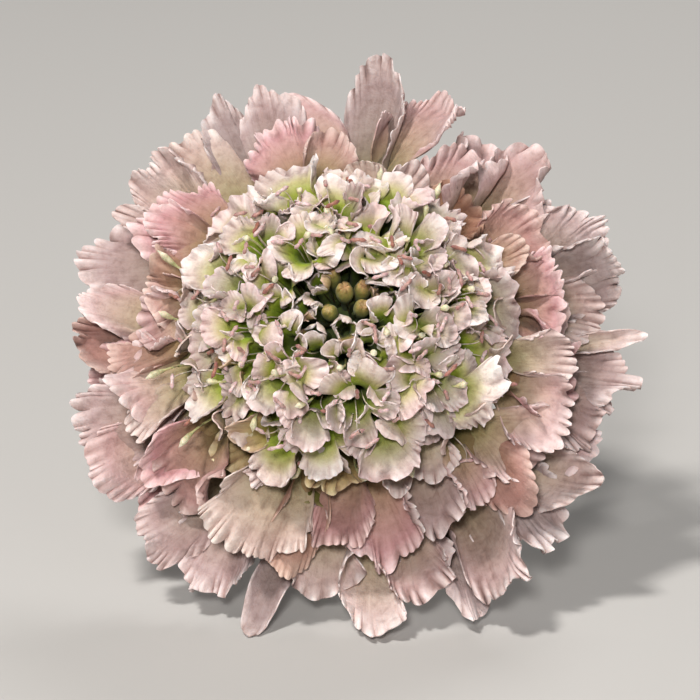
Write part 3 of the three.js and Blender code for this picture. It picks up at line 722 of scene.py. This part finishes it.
# %% Where the inner florets stand
MEDIUM = {  # lobes: direction, half of its share of the mouth, length, width, lift
    "distance": 16.2, "throat": 1.5, "step": 0.5, "root": 7.5, "seed": 5000, "blank": MIDDLE_BLANK,
    "lobes": [(0, 36, 5.8, 6.4, 44), (64, 30, 4.6, 5.2, 24), (137, 42, 3, 3.4, 50), (-137, 42, 3, 3.4, 50),
              (-64, 30, 4.6, 5.2, 24)],
    "places": [(7, 59), (28, 55), (52, 54), (72, 51), (92, 50), (112, 51), (126, 57), (140, 57), (161, 54),
               (178, 58), (195, 54), (212, 56), (232, 54), (247, 59), (263, 51), (292, 50), (312, 52),
               (328, 54), (346, 57)],
}
SMALL = {
    "distance": 16.4, "throat": 1.45, "step": 0.4, "root": 7, "seed": 7000, "blank": MIDDLE_BLANK,
    "lobes": [(0, 36, 5.0, 5.2, 44), (65, 30, 4.0, 4.2, 32), (138, 42, 4.0, 4.0, 22), (-138, 42, 4.0, 4.0, 22),
              (-65, 30, 4.0, 4.2, 32)],
    "places": [(0, 37), (12, 48), (26, 41), (44, 34), (71, 28), (97, 38), (121, 27), (143, 42), (168, 39),
               (192, 38), (213, 42), (235, 34), (257, 38), (283, 38), (311, 35), (326, 44), (339, 34)],
}
OPENING = {
    "distance": 15.2, "throat": 1.15, "step": 0.2, "root": 10, "seed": 9000, "blank": SMALL_BLANK,
    "lobes": [(0, 36, 3.7, 3.4, 46), (72, 36, 3.2, 3.1, 48), (144, 36, 3.0, 3.0, 44), (-144, 36, 3.0, 3.0, 44),
              (-72, 36, 3.2, 3.1, 48)],
    "places": [(335, 21), (279, 25), (219, 27), (160, 27), (188, 25), (306, 24), (252, 24), (18, 29), (96, 24),
               (48, 23)],
}
print("inner florets:", sum(len(whorl["places"]) for whorl in (MEDIUM, SMALL, OPENING)))


# %% The inner whorls
DISC_THICKNESS = 0.14
PALETTES = {  # the tones among which the lobes of a floret choose
    "young": ("white", "white", "cream", "blush"), "shaded": ("grey", "cream", "olive", "white"),
    "open": ("white", "white", "cream", "blush", "mauve", "grey"),
}


def inner_whorls(name, *whorls):
    """One piece of small florets, each turned outwards, with its lobes strayed a little in size."""
    sheets = Shapes()
    for whorl in whorls:
        for k, (azimuth_, polar) in enumerate(whorl["places"]):
            seed = whorl["seed"] + 100 * k
            distance = whorl["distance"] + whorl["step"] * (1 if k % 2 else -1)
            frame_ = floret_frame(azimuth_, polar, distance)
            shaded = 205 < azimuth_ < 320 and polar > 51
            palette = PALETTES["young" if polar < 30 else "shaded" if shaded else "open"]
            lobes, tones = [], []
            for j, (angle, sector, length, width, lift) in enumerate(whorl["lobes"]):
                share, broad = 1 + play(seed + 2 + j, 0.18), 1 + play(seed + 52 + j, 0.2)
                form = ("fan", "trumpet", "shell", "hood")[int(4 * chance(seed + j + 20))]
                turn, raised = play(seed + 62 + j, 9), lift + play(seed + 72 + j, 14)
                args = (angle + turn, sector, length * share, width * share * broad, raised, seed + j, form)
                lobes.append(small_lobe(frame_, whorl["throat"], *args))
                tones.append(palette[int(len(palette) * chance(seed + j // 2 + 30))])
            blanks = [whorl["blank"]] * len(lobes)
            add_floret(sheets, frame_, whorl["throat"], distance, whorl["root"], lobes, blanks, tones, seed)
    mesh_piece(name, sheets, DISC_PETAL, ["inner_florets"], DISC_THICKNESS)


inner_whorls("medium_florets", MEDIUM)
inner_whorls("small_florets", SMALL, OPENING)

# %% [markdown]
# ## Receptacle, cups and bristles
# All florets stand on a receptacle, a firm green dome. Each of them sits in a ribbed green cup with a papery
# rim, and out of it come five dark bristles. Little of that shows, but without it one could look through the
# head. Cups and bristles are rolled up from a flat grid, and turned about the axis of every floret.


# %% A plain green material for the small green parts
def plant_material(name, colours, roughness, grain, hairy=0.0, aged=None, ribs=0):
    """Tissue coloured along V, with a fine grain, aged by the tone of each shape, and paler on its ribs."""
    material, tree, shader = new_material(
        name, roughness, Subsurface_Weight=0.15, Subsurface_Scale=0.0008, Specular_IOR_Level=0.35,
        Sheen_Weight=hairy,
    )
    uv = node(tree, "UVMap", uv_map="petal")
    parts = node(tree, "SeparateXYZ", [(0, uv.outputs[0])]).outputs
    place = node(tree, "TexCoord").outputs["Object"]
    cells = node(tree, "TexNoise", [(0, place)], in_2=grain, in_3=5.0, in_4=0.65)
    colour = ramp(tree, parts[1], colours)
    if aged:
        tone = node(tree, "Attribute", attribute_name="tone")
        age = node(tree, "SeparateColor", [(0, tone.outputs["Color"])]).outputs[0]
        colour = mix(tree, age, colour, ramp(tree, parts[1], aged))
    if ribs:
        wave = math_node(tree, "SINE", math_node(tree, "MULTIPLY", parts[0], 2 * math.pi * ribs))
        pale = ramp(tree, math_node(tree, "MULTIPLY_ADD", wave, 0.5), [(0.2, "#b8c49c"), (0.9, "#ffffff")])
        colour = mix(tree, 0.9, colour, pale, "MULTIPLY")
    shade = ramp(tree, cells.outputs[0], [(0.3, "#a9ad95"), (0.6, "#ffffff")])
    colour = mix(tree, 0.8, colour, shade, "MULTIPLY")
    tree.links.new(colour, shader.inputs["Base Color"])
    bump = node(tree, "Bump", [("Height", cells.outputs[0])])
    bump.inputs["Strength"].default_value = 0.4
    bump.inputs["Distance"].default_value = 0.0002
    tree.links.new(bump.outputs[0], shader.inputs["Normal"])
    return material


# Receptacle: pith that grew as one dome. It gives a dull dark ground between the tubes.
RECEPTACLE_GREEN = plant_material("receptacle, firm green pith", [(0, "#3c461a"), (1, "#4a5620")], 0.7, 900)
# Floret cup: ribbed leaf tissue that dries at its rim. It gives a dark green with straw-coloured edges.
CUP_GREEN = plant_material(
    "floret cup, ribbed and papery at the rim",
    [(0, "#3c4a18"), (0.7, "#57681f"), (1, "#85863f")], 0.7, 1500, 0.05,
)
# Calyx bristle: a dry stiff awn with a dark tip. It gives thin dark lines between the florets.
BRISTLE_BROWN = plant_material(
    "calyx bristle, stiff and dark", [(0, "#6c6c28"), (0.5, "#4d431e"), (1, "#241a10")], 0.5, 2000
)
print("green parts:", RECEPTACLE_GREEN.name, "|", CUP_GREEN.name, "|", BRISTLE_BROWN.name)


# %% Tubes rolled from a grid
def tube_template(sides, rows):
    """A grid that will be rolled up: turn round the axis, height from 0 to 1, faces and UV for each point."""
    points, faces = flat_grid(sides, rows)
    uv = (points + 1) / 2
    return points[:, 0] * math.pi, uv[:, 1], faces, uv


def lathe_on(template, frame_, radii, heights, twist=0.0, ribs=0, depth=0.0):
    """The template turned about a floret's axis: radii and distances from the dome's centre, by height."""
    turn, height, faces, _ = template
    axis, out, side, mouth = frame_
    rows = np.linspace(0, 1, len(radii))
    radius = np.interp(height, rows, radii)
    if ribs:
        deeper = np.interp(height, rows, np.linspace(0.3, 1, len(radii)))
        radius = radius * (1 + depth * np.cos(ribs * turn) * deeper)
    far = np.interp(height, rows, heights)
    round_ = np.outer(np.cos(turn + twist), out) + np.outer(np.sin(turn + twist), side)
    return DOME_CENTRE + np.outer(far, axis) + round_ * radius[:, None]


HEAD_FRAME = floret_frame(0, 0, 0)
CUP = tube_template(24, 7)
BRISTLE = tube_template(4, 3)
COLLAR = tube_template(48, 20)
print("cup template:", len(CUP[0]), "points")

# %% The receptacle
receptacle = Shapes()
profile_radii = [0, 1.7, 4.6, 6.4, 7.6, 7.7, 7.6, 7.4, 6.9, 6.2, 5.5, 4.9, 4.2, 3.3, 2.2, 1.0, 0]
profile_levels = [2.3, 2.3, 2.4, 2.8, 5, 8, 11, 13, 14.6, 15.8, 16.4, 16.8, 17.0, 17.1, 17.1, 17.1, 17.1]
collar_points = lathe_on(COLLAR, HEAD_FRAME, profile_radii, [z - DOME_CENTRE[2] for z in profile_levels])
receptacle.add_tube(collar_points, COLLAR)
mesh_piece("receptacle", receptacle, RECEPTACLE_GREEN, ["bud_cluster", "inner_florets", "outer_florets"])

# %% Cups and bristles
# Each stand: azimuth and polar angle, where its cup starts and ends along the axis, and its rim's radius.
stands = [(azimuth_, polar, 7.5, 13.4, 1.6) for azimuth_, polar in MEDIUM["places"]]
stands += [(azimuth_, polar, 8.5, 13.2, 1.4) for azimuth_, polar in SMALL["places"] + OPENING["places"]]
stands += [(azimuth_, UPPER["polar"], 7, 12.4, 1.6) for azimuth_, _ in UPPER_WHORL]
stands += [((given[0][0] + given[-1][0]) / 2, polar, 7, 12, 1.6) for polar, given in LOWEST_WHORL]
stands += [(90 * k + 20, 9 + 3 * (k % 2), 8.5, 11.8, 0.9) for k in range(4)]
cups, bristles = Shapes(), Shapes()
for k, (azimuth_, polar, low, high, rim) in enumerate(stands):
    frame_ = floret_frame(azimuth_, polar, high)
    twist = 6 * chance(k)
    radii = [rim * r for r in (0.47, 0.56, 0.7, 0.8, 0.9, 1, 0.94, 0.7)]
    heights = [low, low + 1, low + 2, low + 3, high - 1.2, high, high - 0.25, high - 1.4]
    cups.add_tube(lathe_on(CUP, frame_, radii, heights, twist, 8, 0.06), CUP)
    count = 9 if polar < 45 else 5
    for j in range(count):
        a = twist + j * 2 * math.pi / count
        lean = frame_[1] * math.cos(a) + frame_[2] * math.sin(a)
        heights = [high - 2, high - 0.5, high + 1, high + 1.8 + 1.8 * chance(9 * k + j)]
        base = lathe_on(BRISTLE, frame_, [0.12, 0.1, 0.07, 0], heights)
        far = (base - DOME_CENTRE) @ frame_[0] - high + 2
        bristles.add_tube(base + np.outer(0.6 * rim + 0.2 * far, lean), BRISTLE)
mesh_piece("floret_cups", cups, CUP_GREEN, ["inner_florets", "outer_florets"])
mesh_piece("calyx_bristles", bristles, BRISTLE_BROWN, ["inner_florets", "outer_florets"])

# %% [markdown]
# ## Buds
# In the very middle the florets are still closed: olive green buds with four seams, blunt and a little tan at
# the top, on thin stalks. Five of them are opening, and curl their cream lobes inwards over the mouth.

# %% Bud material
# Bud: young petals folded over each other and covered in down. It gives a matt olive green, tan at the top.
BUD_GREEN = plant_material(
    "bud, downy and closed",
    [(0, "#3f5012"), (0.4, "#7a8338"), (0.8, "#9b9f50"), (0.95, "#a89f5a"), (1, "#b7a06c")], 0.5, 1300, 0.1,
    aged=[(0, "#48580f"), (0.4, "#868842"), (0.8, "#a59b5a"), (0.95, "#b59a66"), (1, "#c49a76")],
)
print("buds:", BUD_GREEN.name)

# %% Closed and opening buds
BUDS = {"radius": 1.02, "distance": 12.6}
OPENED = {"distance": 13.6, "throat": 0.95, "root": 7, "foot": 0.5, "length": 1.9, "width": 1.9, "lift": 80,
          "thickness": 0.16}
CLOSED = [(80, 9), (42, 15), (8, 11), (198, 5), (104, 18)]
BURSTING = [(285, 10), (130, 15), (184, 15), (231, 17), (22, 21)]
BUD = tube_template(40, 18)
turn, height, faces, _ = BUD
h = np.clip(height, 0, 1)
# From the stalk up: a swollen obovoid that closes in a blunt, slightly sunk top with four seams.
outline_h = [0, 0.25, 0.42, 0.52, 0.66, 0.78, 0.88, 0.95, 1]
outline_r = [0, 0.45, 0.55, 0.8, 1.0, 0.98, 0.78, 0.45, 0]
outline_z = [6.5, 9.5, 11.2, 12.0, 13.1, 13.9, 14.5, 14.75, 14.7]
buds = Shapes()
for k, (azimuth_, polar) in enumerate(CLOSED):
    frame_ = floret_frame(azimuth_ + play(k, 3), polar, BUDS["distance"])
    size = 1 + play(k + 60, 0.1)
    radius = np.interp(h, outline_h, outline_r) * BUDS["radius"] * size
    seams = 1 - np.abs(np.cos(2 * turn + k)) ** 0.35
    radius = radius * (1 - 0.16 * seams * smooth(0.5, 0.9, h))
    bulge = 0.35 * (1 - seams) * smooth(0.8, 0.92, h) * (1 - smooth(0.93, 1, h))
    far = np.interp(h, outline_h, outline_z) + bulge
    round_ = np.outer(np.cos(turn), frame_[1]) + np.outer(np.sin(turn), frame_[2])
    points = DOME_CENTRE + np.outer(far + size - 1, frame_[0]) + round_ * radius[:, None]
    buds.add(points, faces, np.stack([turn / 6.3 + 0.5, smooth(0.3, 1, h)], axis=1), (chance(k + 70), 0, 0))
mesh_piece("closed_buds", buds, BUD_GREEN, ["bud_cluster"])

bursting = Shapes()
for k, (azimuth_, polar) in enumerate(BURSTING):
    seed = 400 + 20 * k
    frame_ = floret_frame(azimuth_, polar, OPENED["distance"])
    lobes, tones = [], []
    for j in range(5):
        length, lift = OPENED["length"] + play(seed + j, 0.6), OPENED["lift"] + play(seed + j + 2, 14)
        args = (72 * j + 9 * k, 36, length, OPENED["width"], lift, seed + j, "hood")
        lobe = small_lobe(frame_, OPENED["throat"], *args)
        lobe["recurve"], lobe["roll"] = -0.4 + play(seed + j + 5, 0.4), 0.8
        lobes.append(lobe)
        tones.append(("olive", "white", "cream", "white", "white")[(j + 2 * k) % 5])
    measures = (OPENED["throat"], OPENED["distance"], OPENED["root"])
    add_floret(bursting, frame_, *measures, lobes, [SMALL_BLANK] * 5, tones, seed, OPENED["foot"])
mesh_piece("bursting_buds", bursting, DISC_PETAL, ["bud_cluster"], OPENED["thickness"])

# %% [markdown]
# ## Stamens and styles
# From each open floret stand up to four stamens, thread-like filaments with an anther lying across the end of
# each: pale pink when fresh, brown when it has shed its pollen. The style is a paler and thicker thread with a
# blunt cream stigma. On the ray florets, which open first, the stamens are nearly over and the style is longer.
# They are swept along curves of their own, and they make the head look like a pincushion.


# %% Sweeping a thread
def bezier(p, t):
    """A smooth curve from p[0] to p[3], which sets out towards p[1] and comes in from p[2]."""
    return (1 - t) ** 3 * p[0] + 3 * t * (1 - t) ** 2 * p[1] + 3 * t**2 * (1 - t) * p[2] + t**3 * p[3]


def sweep(template, path, radii):
    """The template's rings carried along a smooth path, with a radius that changes along it."""
    turn, height, *_ = template
    t = height[:, None]
    p = [np.asarray(q) for q in path]
    point = bezier(p, t)
    tangent = 3 * (1 - t) ** 2 * (p[1] - p[0]) + 6 * t * (1 - t) * (p[2] - p[1]) + 3 * t**2 * (p[3] - p[2])
    tangent = unit(tangent)
    first = unit(np.cross(tangent, unit(p[3] - p[0] + np.array([0.31, -0.17, 0.42]))))
    second = np.cross(tangent, first)
    radius = np.interp(height, np.linspace(0, 1, len(radii)), radii)[:, None]
    return point + radius * (first * np.cos(turn)[:, None] + second * np.sin(turn)[:, None])


THREAD = tube_template(6, 14)
CLUB = tube_template(8, 12)
print("thread template:", len(THREAD[0]), "points")

# %% Stamen and style materials
# Anther: a pollen sac, pink when it opens and brown once it is empty. It gives small specks of warm colour.
ANTHER_MAUVE = plant_material(
    "anther, pale mauve when fresh and brown when empty",
    [(0, "#dcb6ba"), (0.5, "#f2dcdc"), (1, "#d9b2b8")], 0.6, 2500, 0.2,
    aged=[(0, "#94584c"), (0.5, "#b8806c"), (1, "#8a5048")],
)
# Filament: a smooth thread of tissue, almost without pigment. It gives fine pale lines with a slight gloss.
FILAMENT = plant_material(
    "filament, thin and pale", [(0, "#a9b070"), (0.5, "#dccdc0"), (1, "#e3cfca")], 0.4, 1500
)
# Style and stigma: waxy tissue, moist at its tip. It gives pale beads that catch the light.
STIGMA = plant_material(
    "style and stigma, waxy", [(0, "#a5ac62"), (0.8, "#cfcb9c"), (0.93, "#e9e0c4"), (1, "#f0e8d2")], 0.35, 1500
)
print("threads:", ANTHER_MAUVE.name, "|", FILAMENT.name, "|", STIGMA.name)

# %% Stamens
mouths = [(frame_, throat, UPPER["seed"] + 100 * k, 1, 5.0) for k, (frame_, throat, *_) in enumerate(upper)]
for whorl, per in ((MEDIUM, 2), (SMALL, 4), (OPENING, 2)):
    for k, (azimuth_, polar) in enumerate(whorl["places"]):
        distance = whorl["distance"] + whorl["step"] * (1 if k % 2 else -1)
        frame_ = floret_frame(azimuth_, polar, distance)
        mouths.append((frame_, whorl["throat"], whorl["seed"] + 100 * k, per, 2.4))
filaments, anthers, styles = Shapes(), Shapes(), Shapes()
for (axis, out, side, mouth), throat, own, per, style in mouths:
    for j in range(per):
        if chance(own + j + 70) > 0.75:
            continue
        a = math.radians(90 * j + 360 * chance(own + 71))
        lean = out * math.cos(a) + side * math.sin(a)
        rise = 2.2 + 2.2 * chance(own + j + 72)
        root = mouth - axis * 2 + lean * throat * 0.5
        end = mouth + axis * rise + lean * (1.2 + 2 * chance(own + j + 73))
        path = [root, mouth + lean * throat * 0.6, mouth + axis * rise * 0.9 + lean * 0.6, end]
        filaments.add_tube(sweep(THREAD, path, [0, 0.09, 0.08, 0.07, 0]), THREAD)
        lie = unit(lean * math.cos(own + j) + side * math.sin(own + j) + axis * play(own + j, 0.7))
        half = 0.95 + play(own + j + 74, 0.2)
        arch = axis * play(own + j + 75, 0.35)
        club = [end + lie * half * along + bend for along, bend in ((-1, 0), (-0.3, arch), (0.3, arch), (1, 0))]
        girth = [0, 0.2, 0.27, 0.22, 0.19, 0.22, 0.27, 0.2, 0]
        anthers.add_tube(sweep(CLUB, club, girth), CLUB, (chance(own + j + 76) ** 1.3, 0, 0))
    if chance(own + 80) < 0.7:
        lean = out * play(own + 81, 1) + side * play(own + 82, 1)
        end = mouth + axis * (style + 2 * chance(own + 83)) + lean * 1.6 - out * (style - 2.4)
        path = [mouth - axis * 3, mouth + axis * 0.5, mouth + axis * 2.5 - lean * 0.8, end]
        styles.add_tube(sweep(CLUB, path, [0] + [0.14] * 13 + [0.3, 0.46, 0.4, 0]), CLUB)
mesh_piece("filaments", filaments, FILAMENT, ["inner_florets"])
mesh_piece("anthers", anthers, ANTHER_MAUVE, ["inner_florets"])
mesh_piece("styles", styles, STIGMA, ["inner_florets"])

# %% [markdown]
# ## Involucre
# Under the head sits the involucre, a ring of narrow pointed bracts. They are real leaves: green, keeled along
# the middle and softly hairy. One is laid from the same kind of grid as a petal, and the hairs are thin cones
# that stand on it, because hair strands would not be part of the mesh.


# %% Hairs
HAIR = tube_template(3, 1)


def add_hairs(shapes, places, directions, lengths, thickness=0.035):
    """A cone for each hair, sunk a little into what it grows on."""
    for place, direction, length in zip(places, directions, lengths):
        side = unit(np.cross(direction, [0.31, 0.77, -0.55]))
        round_ = np.outer(np.cos(HAIR[0]), side) + np.outer(np.sin(HAIR[0]), np.cross(direction, side))
        radius = thickness * (1 - HAIR[1])[:, None]
        shapes.add_tube(place + np.outer(HAIR[1] * length - 0.05, direction) + radius * round_, HAIR)


print("a hair has", len(HAIR[2]), "faces")

# %% Green of bracts, stem and hairs
# Bract: a small leaf with a coat of soft hairs. It gives a matt grey-green, paler at its base.
BRACT_GREEN = plant_material(
    "bract, soft hairy leaf",
    [(0, "#7d8f4e"), (0.3, "#5f7a3a"), (0.8, "#56703a"), (1, "#7a5b4a")], 0.65, 1400, 0.4,
)
# Stem: a ribbed green skin with a thin wax on it, cut through to the pith. It gives long soft highlights.
STEM_GREEN = plant_material(
    "stem, ribbed and waxy, with pale pith at the cut",
    [(0, "#7c8c50"), (0.2, "#6f8a48"), (0.9, "#64803f"), (0.915, "#8c9c5c"), (0.93, "#cdd0a4"),
     (0.975, "#d9d8b8"), (1, "#8d8a5e")],
    0.5, 700, 0.3, ribs=10,
)
# Hair: single dry cells filled with air. They give a whitish fringe along bracts and stem.
HAIR_WHITE = plant_material("hair, short and white", [(0, "#a9b494"), (1, "#e6e8dc")], 0.5, 900)
print("greens:", BRACT_GREEN.name, "|", STEM_GREEN.name)

# %% Bracts
BRACTS = {"count": 14, "reach": 13, "width": 2.7, "droop": -1.2, "thickness": 0.35}
BRACT_BLANK = make_blank("bract", 14, 2, 18)
bracts, hairs = Shapes(), Shapes()
for k in range(BRACTS["count"]):
    azimuth_ = 360 * k / BRACTS["count"]
    reach = BRACTS["reach"] * (0.8 if k % 2 else 1) * (1 + play(k, 0.05))
    u, v, faces = BRACT_BLANK
    along = (v + 1) / 2
    bends = [head_point(azimuth_, *place) for place in ((3.2, 1.3), (8, 2.0), (reach, BRACTS["droop"]))]
    spine, tangent = spine_points(*bends, along)
    across = head_point(azimuth_ + 90, 1, 0)
    up = np.cross(tangent, across)
    profile = np.interp(along, [0, 0.15, 0.4, 0.6, 0.8, 0.93, 1], [0.75, 0.9, 1, 0.86, 0.5, 0.2, 0])
    half = BRACTS["width"] / 2 * profile
    keel = 0.5 * half * (np.abs(u) - 0.4) + 0.12 * hills(3 * along + 5 * k, 2 * u, k)
    swing = 0.6 * hills(1.5 * along, 0 * u, k + 30) * along
    leaf = spine + np.outer(half * u + swing, across) + up * keel[:, None]
    bracts.add(leaf, faces, np.stack([u / 2 + 0.5, along], axis=1))
    chosen = [i for i in range(len(u)) if chance(i + 300 * k) < 0.5 and along[i] > 0.1]
    above = np.outer([1 if i % 3 else -1 for i in chosen], [0, 0, 1])
    outwards = unit(np.outer(u[chosen], across) + above + 0.6 * tangent[chosen])
    add_hairs(hairs, leaf[chosen], outwards, [0.35 + 0.5 * chance(i + k) for i in chosen])
mesh_piece("bracts", bracts, BRACT_GREEN, ["involucre"], BRACTS["thickness"])
disc = Shapes()
disc_radii = [0, 1.3, 1.6, 3.2, 4.4, 4.8, 4.8, 4.4, 0]
disc_levels = [0, 0, 0.1, 0.4, 0.9, 1.4, 2, 2.3, 2.3]
disc.add_tube(lathe_on(COLLAR, HEAD_FRAME, disc_radii, [z - DOME_CENTRE[2] for z in disc_levels]), COLLAR)
mesh_piece("involucre_disc", disc, BRACT_GREEN, ["involucre"])

# %% [markdown]
# ## Stem
# The stem is bare: a slender tube with about ten fine ribs, a little thicker just under the head, with short
# hairs there. It leaves the head along its axis, bends down to the table under its own weight, and lies flat
# for its last stretch, where it was cut. The cut shows the pale pith, with a hollow in the middle.


# %% The stem's path
def from_world(points):
    """Points of the scene in millimetres, as points of the head."""
    return (np.asarray(points) - HEAD_BASE) @ HEAD_AXES.T


STEM = {"radius": 1.17, "neck": 21, "landing": 24, "end": 55.1, "flat": 27.9}
down = -HEAD_AXES[2]
top, touch = HEAD_BASE + down * 0.3, np.array([HEAD_BASE[0], STEM["end"] - STEM["flat"], 1.2])
bends = [top, top + down * STEM["neck"], touch - [0, STEM["landing"], 0], touch]
t = np.linspace(0, 1, 60)[:, None]
curve = bezier(bends, t)
line = touch + np.outer(np.linspace(0, STEM["flat"], 28)[1:], [0, 1, 0])
path = np.concatenate([curve, line])
print("the stem is", round(float(np.linalg.norm(np.diff(path, axis=0), axis=1).sum()), 1), "mm long")

# %% The stem and its hairs
CUT_ROWS = 7  # rings of points that close the cut end, from its rim to the hollow in the middle
turn, height, faces, uv = tube_template(60, len(path) + CUT_ROWS)
row = np.rint(height * (len(path) + CUT_ROWS)).astype(int)
last = len(path) - 1
ring, cut = np.clip(row - 1, 0, last), row > last + 1
tangents = unit(np.gradient(path, axis=0))
side = np.array([1.0, 0, 0])
radius = np.interp(ring, [0, 6, 14, last], [1.5, 1.3, 1, 1]) * STEM["radius"]
radius = radius * (1 + 0.035 * np.cos(10 * turn) + 0.02 * hills(0.3 * ring, 0 * turn, 4))
inner = np.interp(row - 1 - last, range(CUT_ROWS + 1), [1, 0.97, 0.85, 0.6, 0.4, 0.22, 0.15, 0])
dent = np.interp(row - 1 - last, range(CUT_ROWS + 1), [0, 0.06, 0.02, -0.02, -0.05, -0.3, -0.7, -0.75])
radius = np.where(row == 0, 0, radius * np.where(cut, inner, 1))
centre = path[ring] + tangents[ring] * np.where(cut, dent, 0)[:, None]
upward = np.cross(tangents, side)
round_ = np.cos(turn)[:, None] * side + np.sin(turn)[:, None] * upward[ring]
skin = from_world(centre + round_ * radius[:, None])
v = np.where(cut, 0.9 + 0.1 * (1 - inner), 0.9 * ring / last)
stem = Shapes()
stem.add(skin, faces, np.stack([uv[:, 0], v], axis=1))
mesh_piece("stem", stem, STEM_GREEN, ["stem"])
HAIRY_ROWS = 70  # the hairs grow rarer from the head down to this ring
chosen = [i for i in range(len(turn)) if 0 < row[i] < last and chance(i) < 0.75 * (1 - row[i] / HAIRY_ROWS)]
down_stem = (tangents[ring] @ HEAD_AXES.T)[chosen]
strays = [[play(i, 0.3), play(i + 1, 0.3), 0] for i in chosen]
directions = unit((round_ @ HEAD_AXES.T)[chosen] + 0.4 * down_stem + strays)
add_hairs(hairs, skin[chosen], directions, [0.3 + 0.4 * chance(i + 5) for i in chosen])
mesh_piece("hairs", hairs, HAIR_WHITE, ["stem", "involucre"])

# %% Floor and its finish
clear_selection()
bpy.ops.mesh.primitive_plane_add(size=3, location=(0, 0, -0.0001))
floor = bpy.context.object
floor.name = "table"
# Table top: a painted board, sanded and matt. It gives an even pale ground.
floor_material, _, shader = new_material("matt pale table top", 0.8)
shader.inputs["Base Color"].default_value = linear("#c4c1bd")
floor.data.materials.append(floor_material)
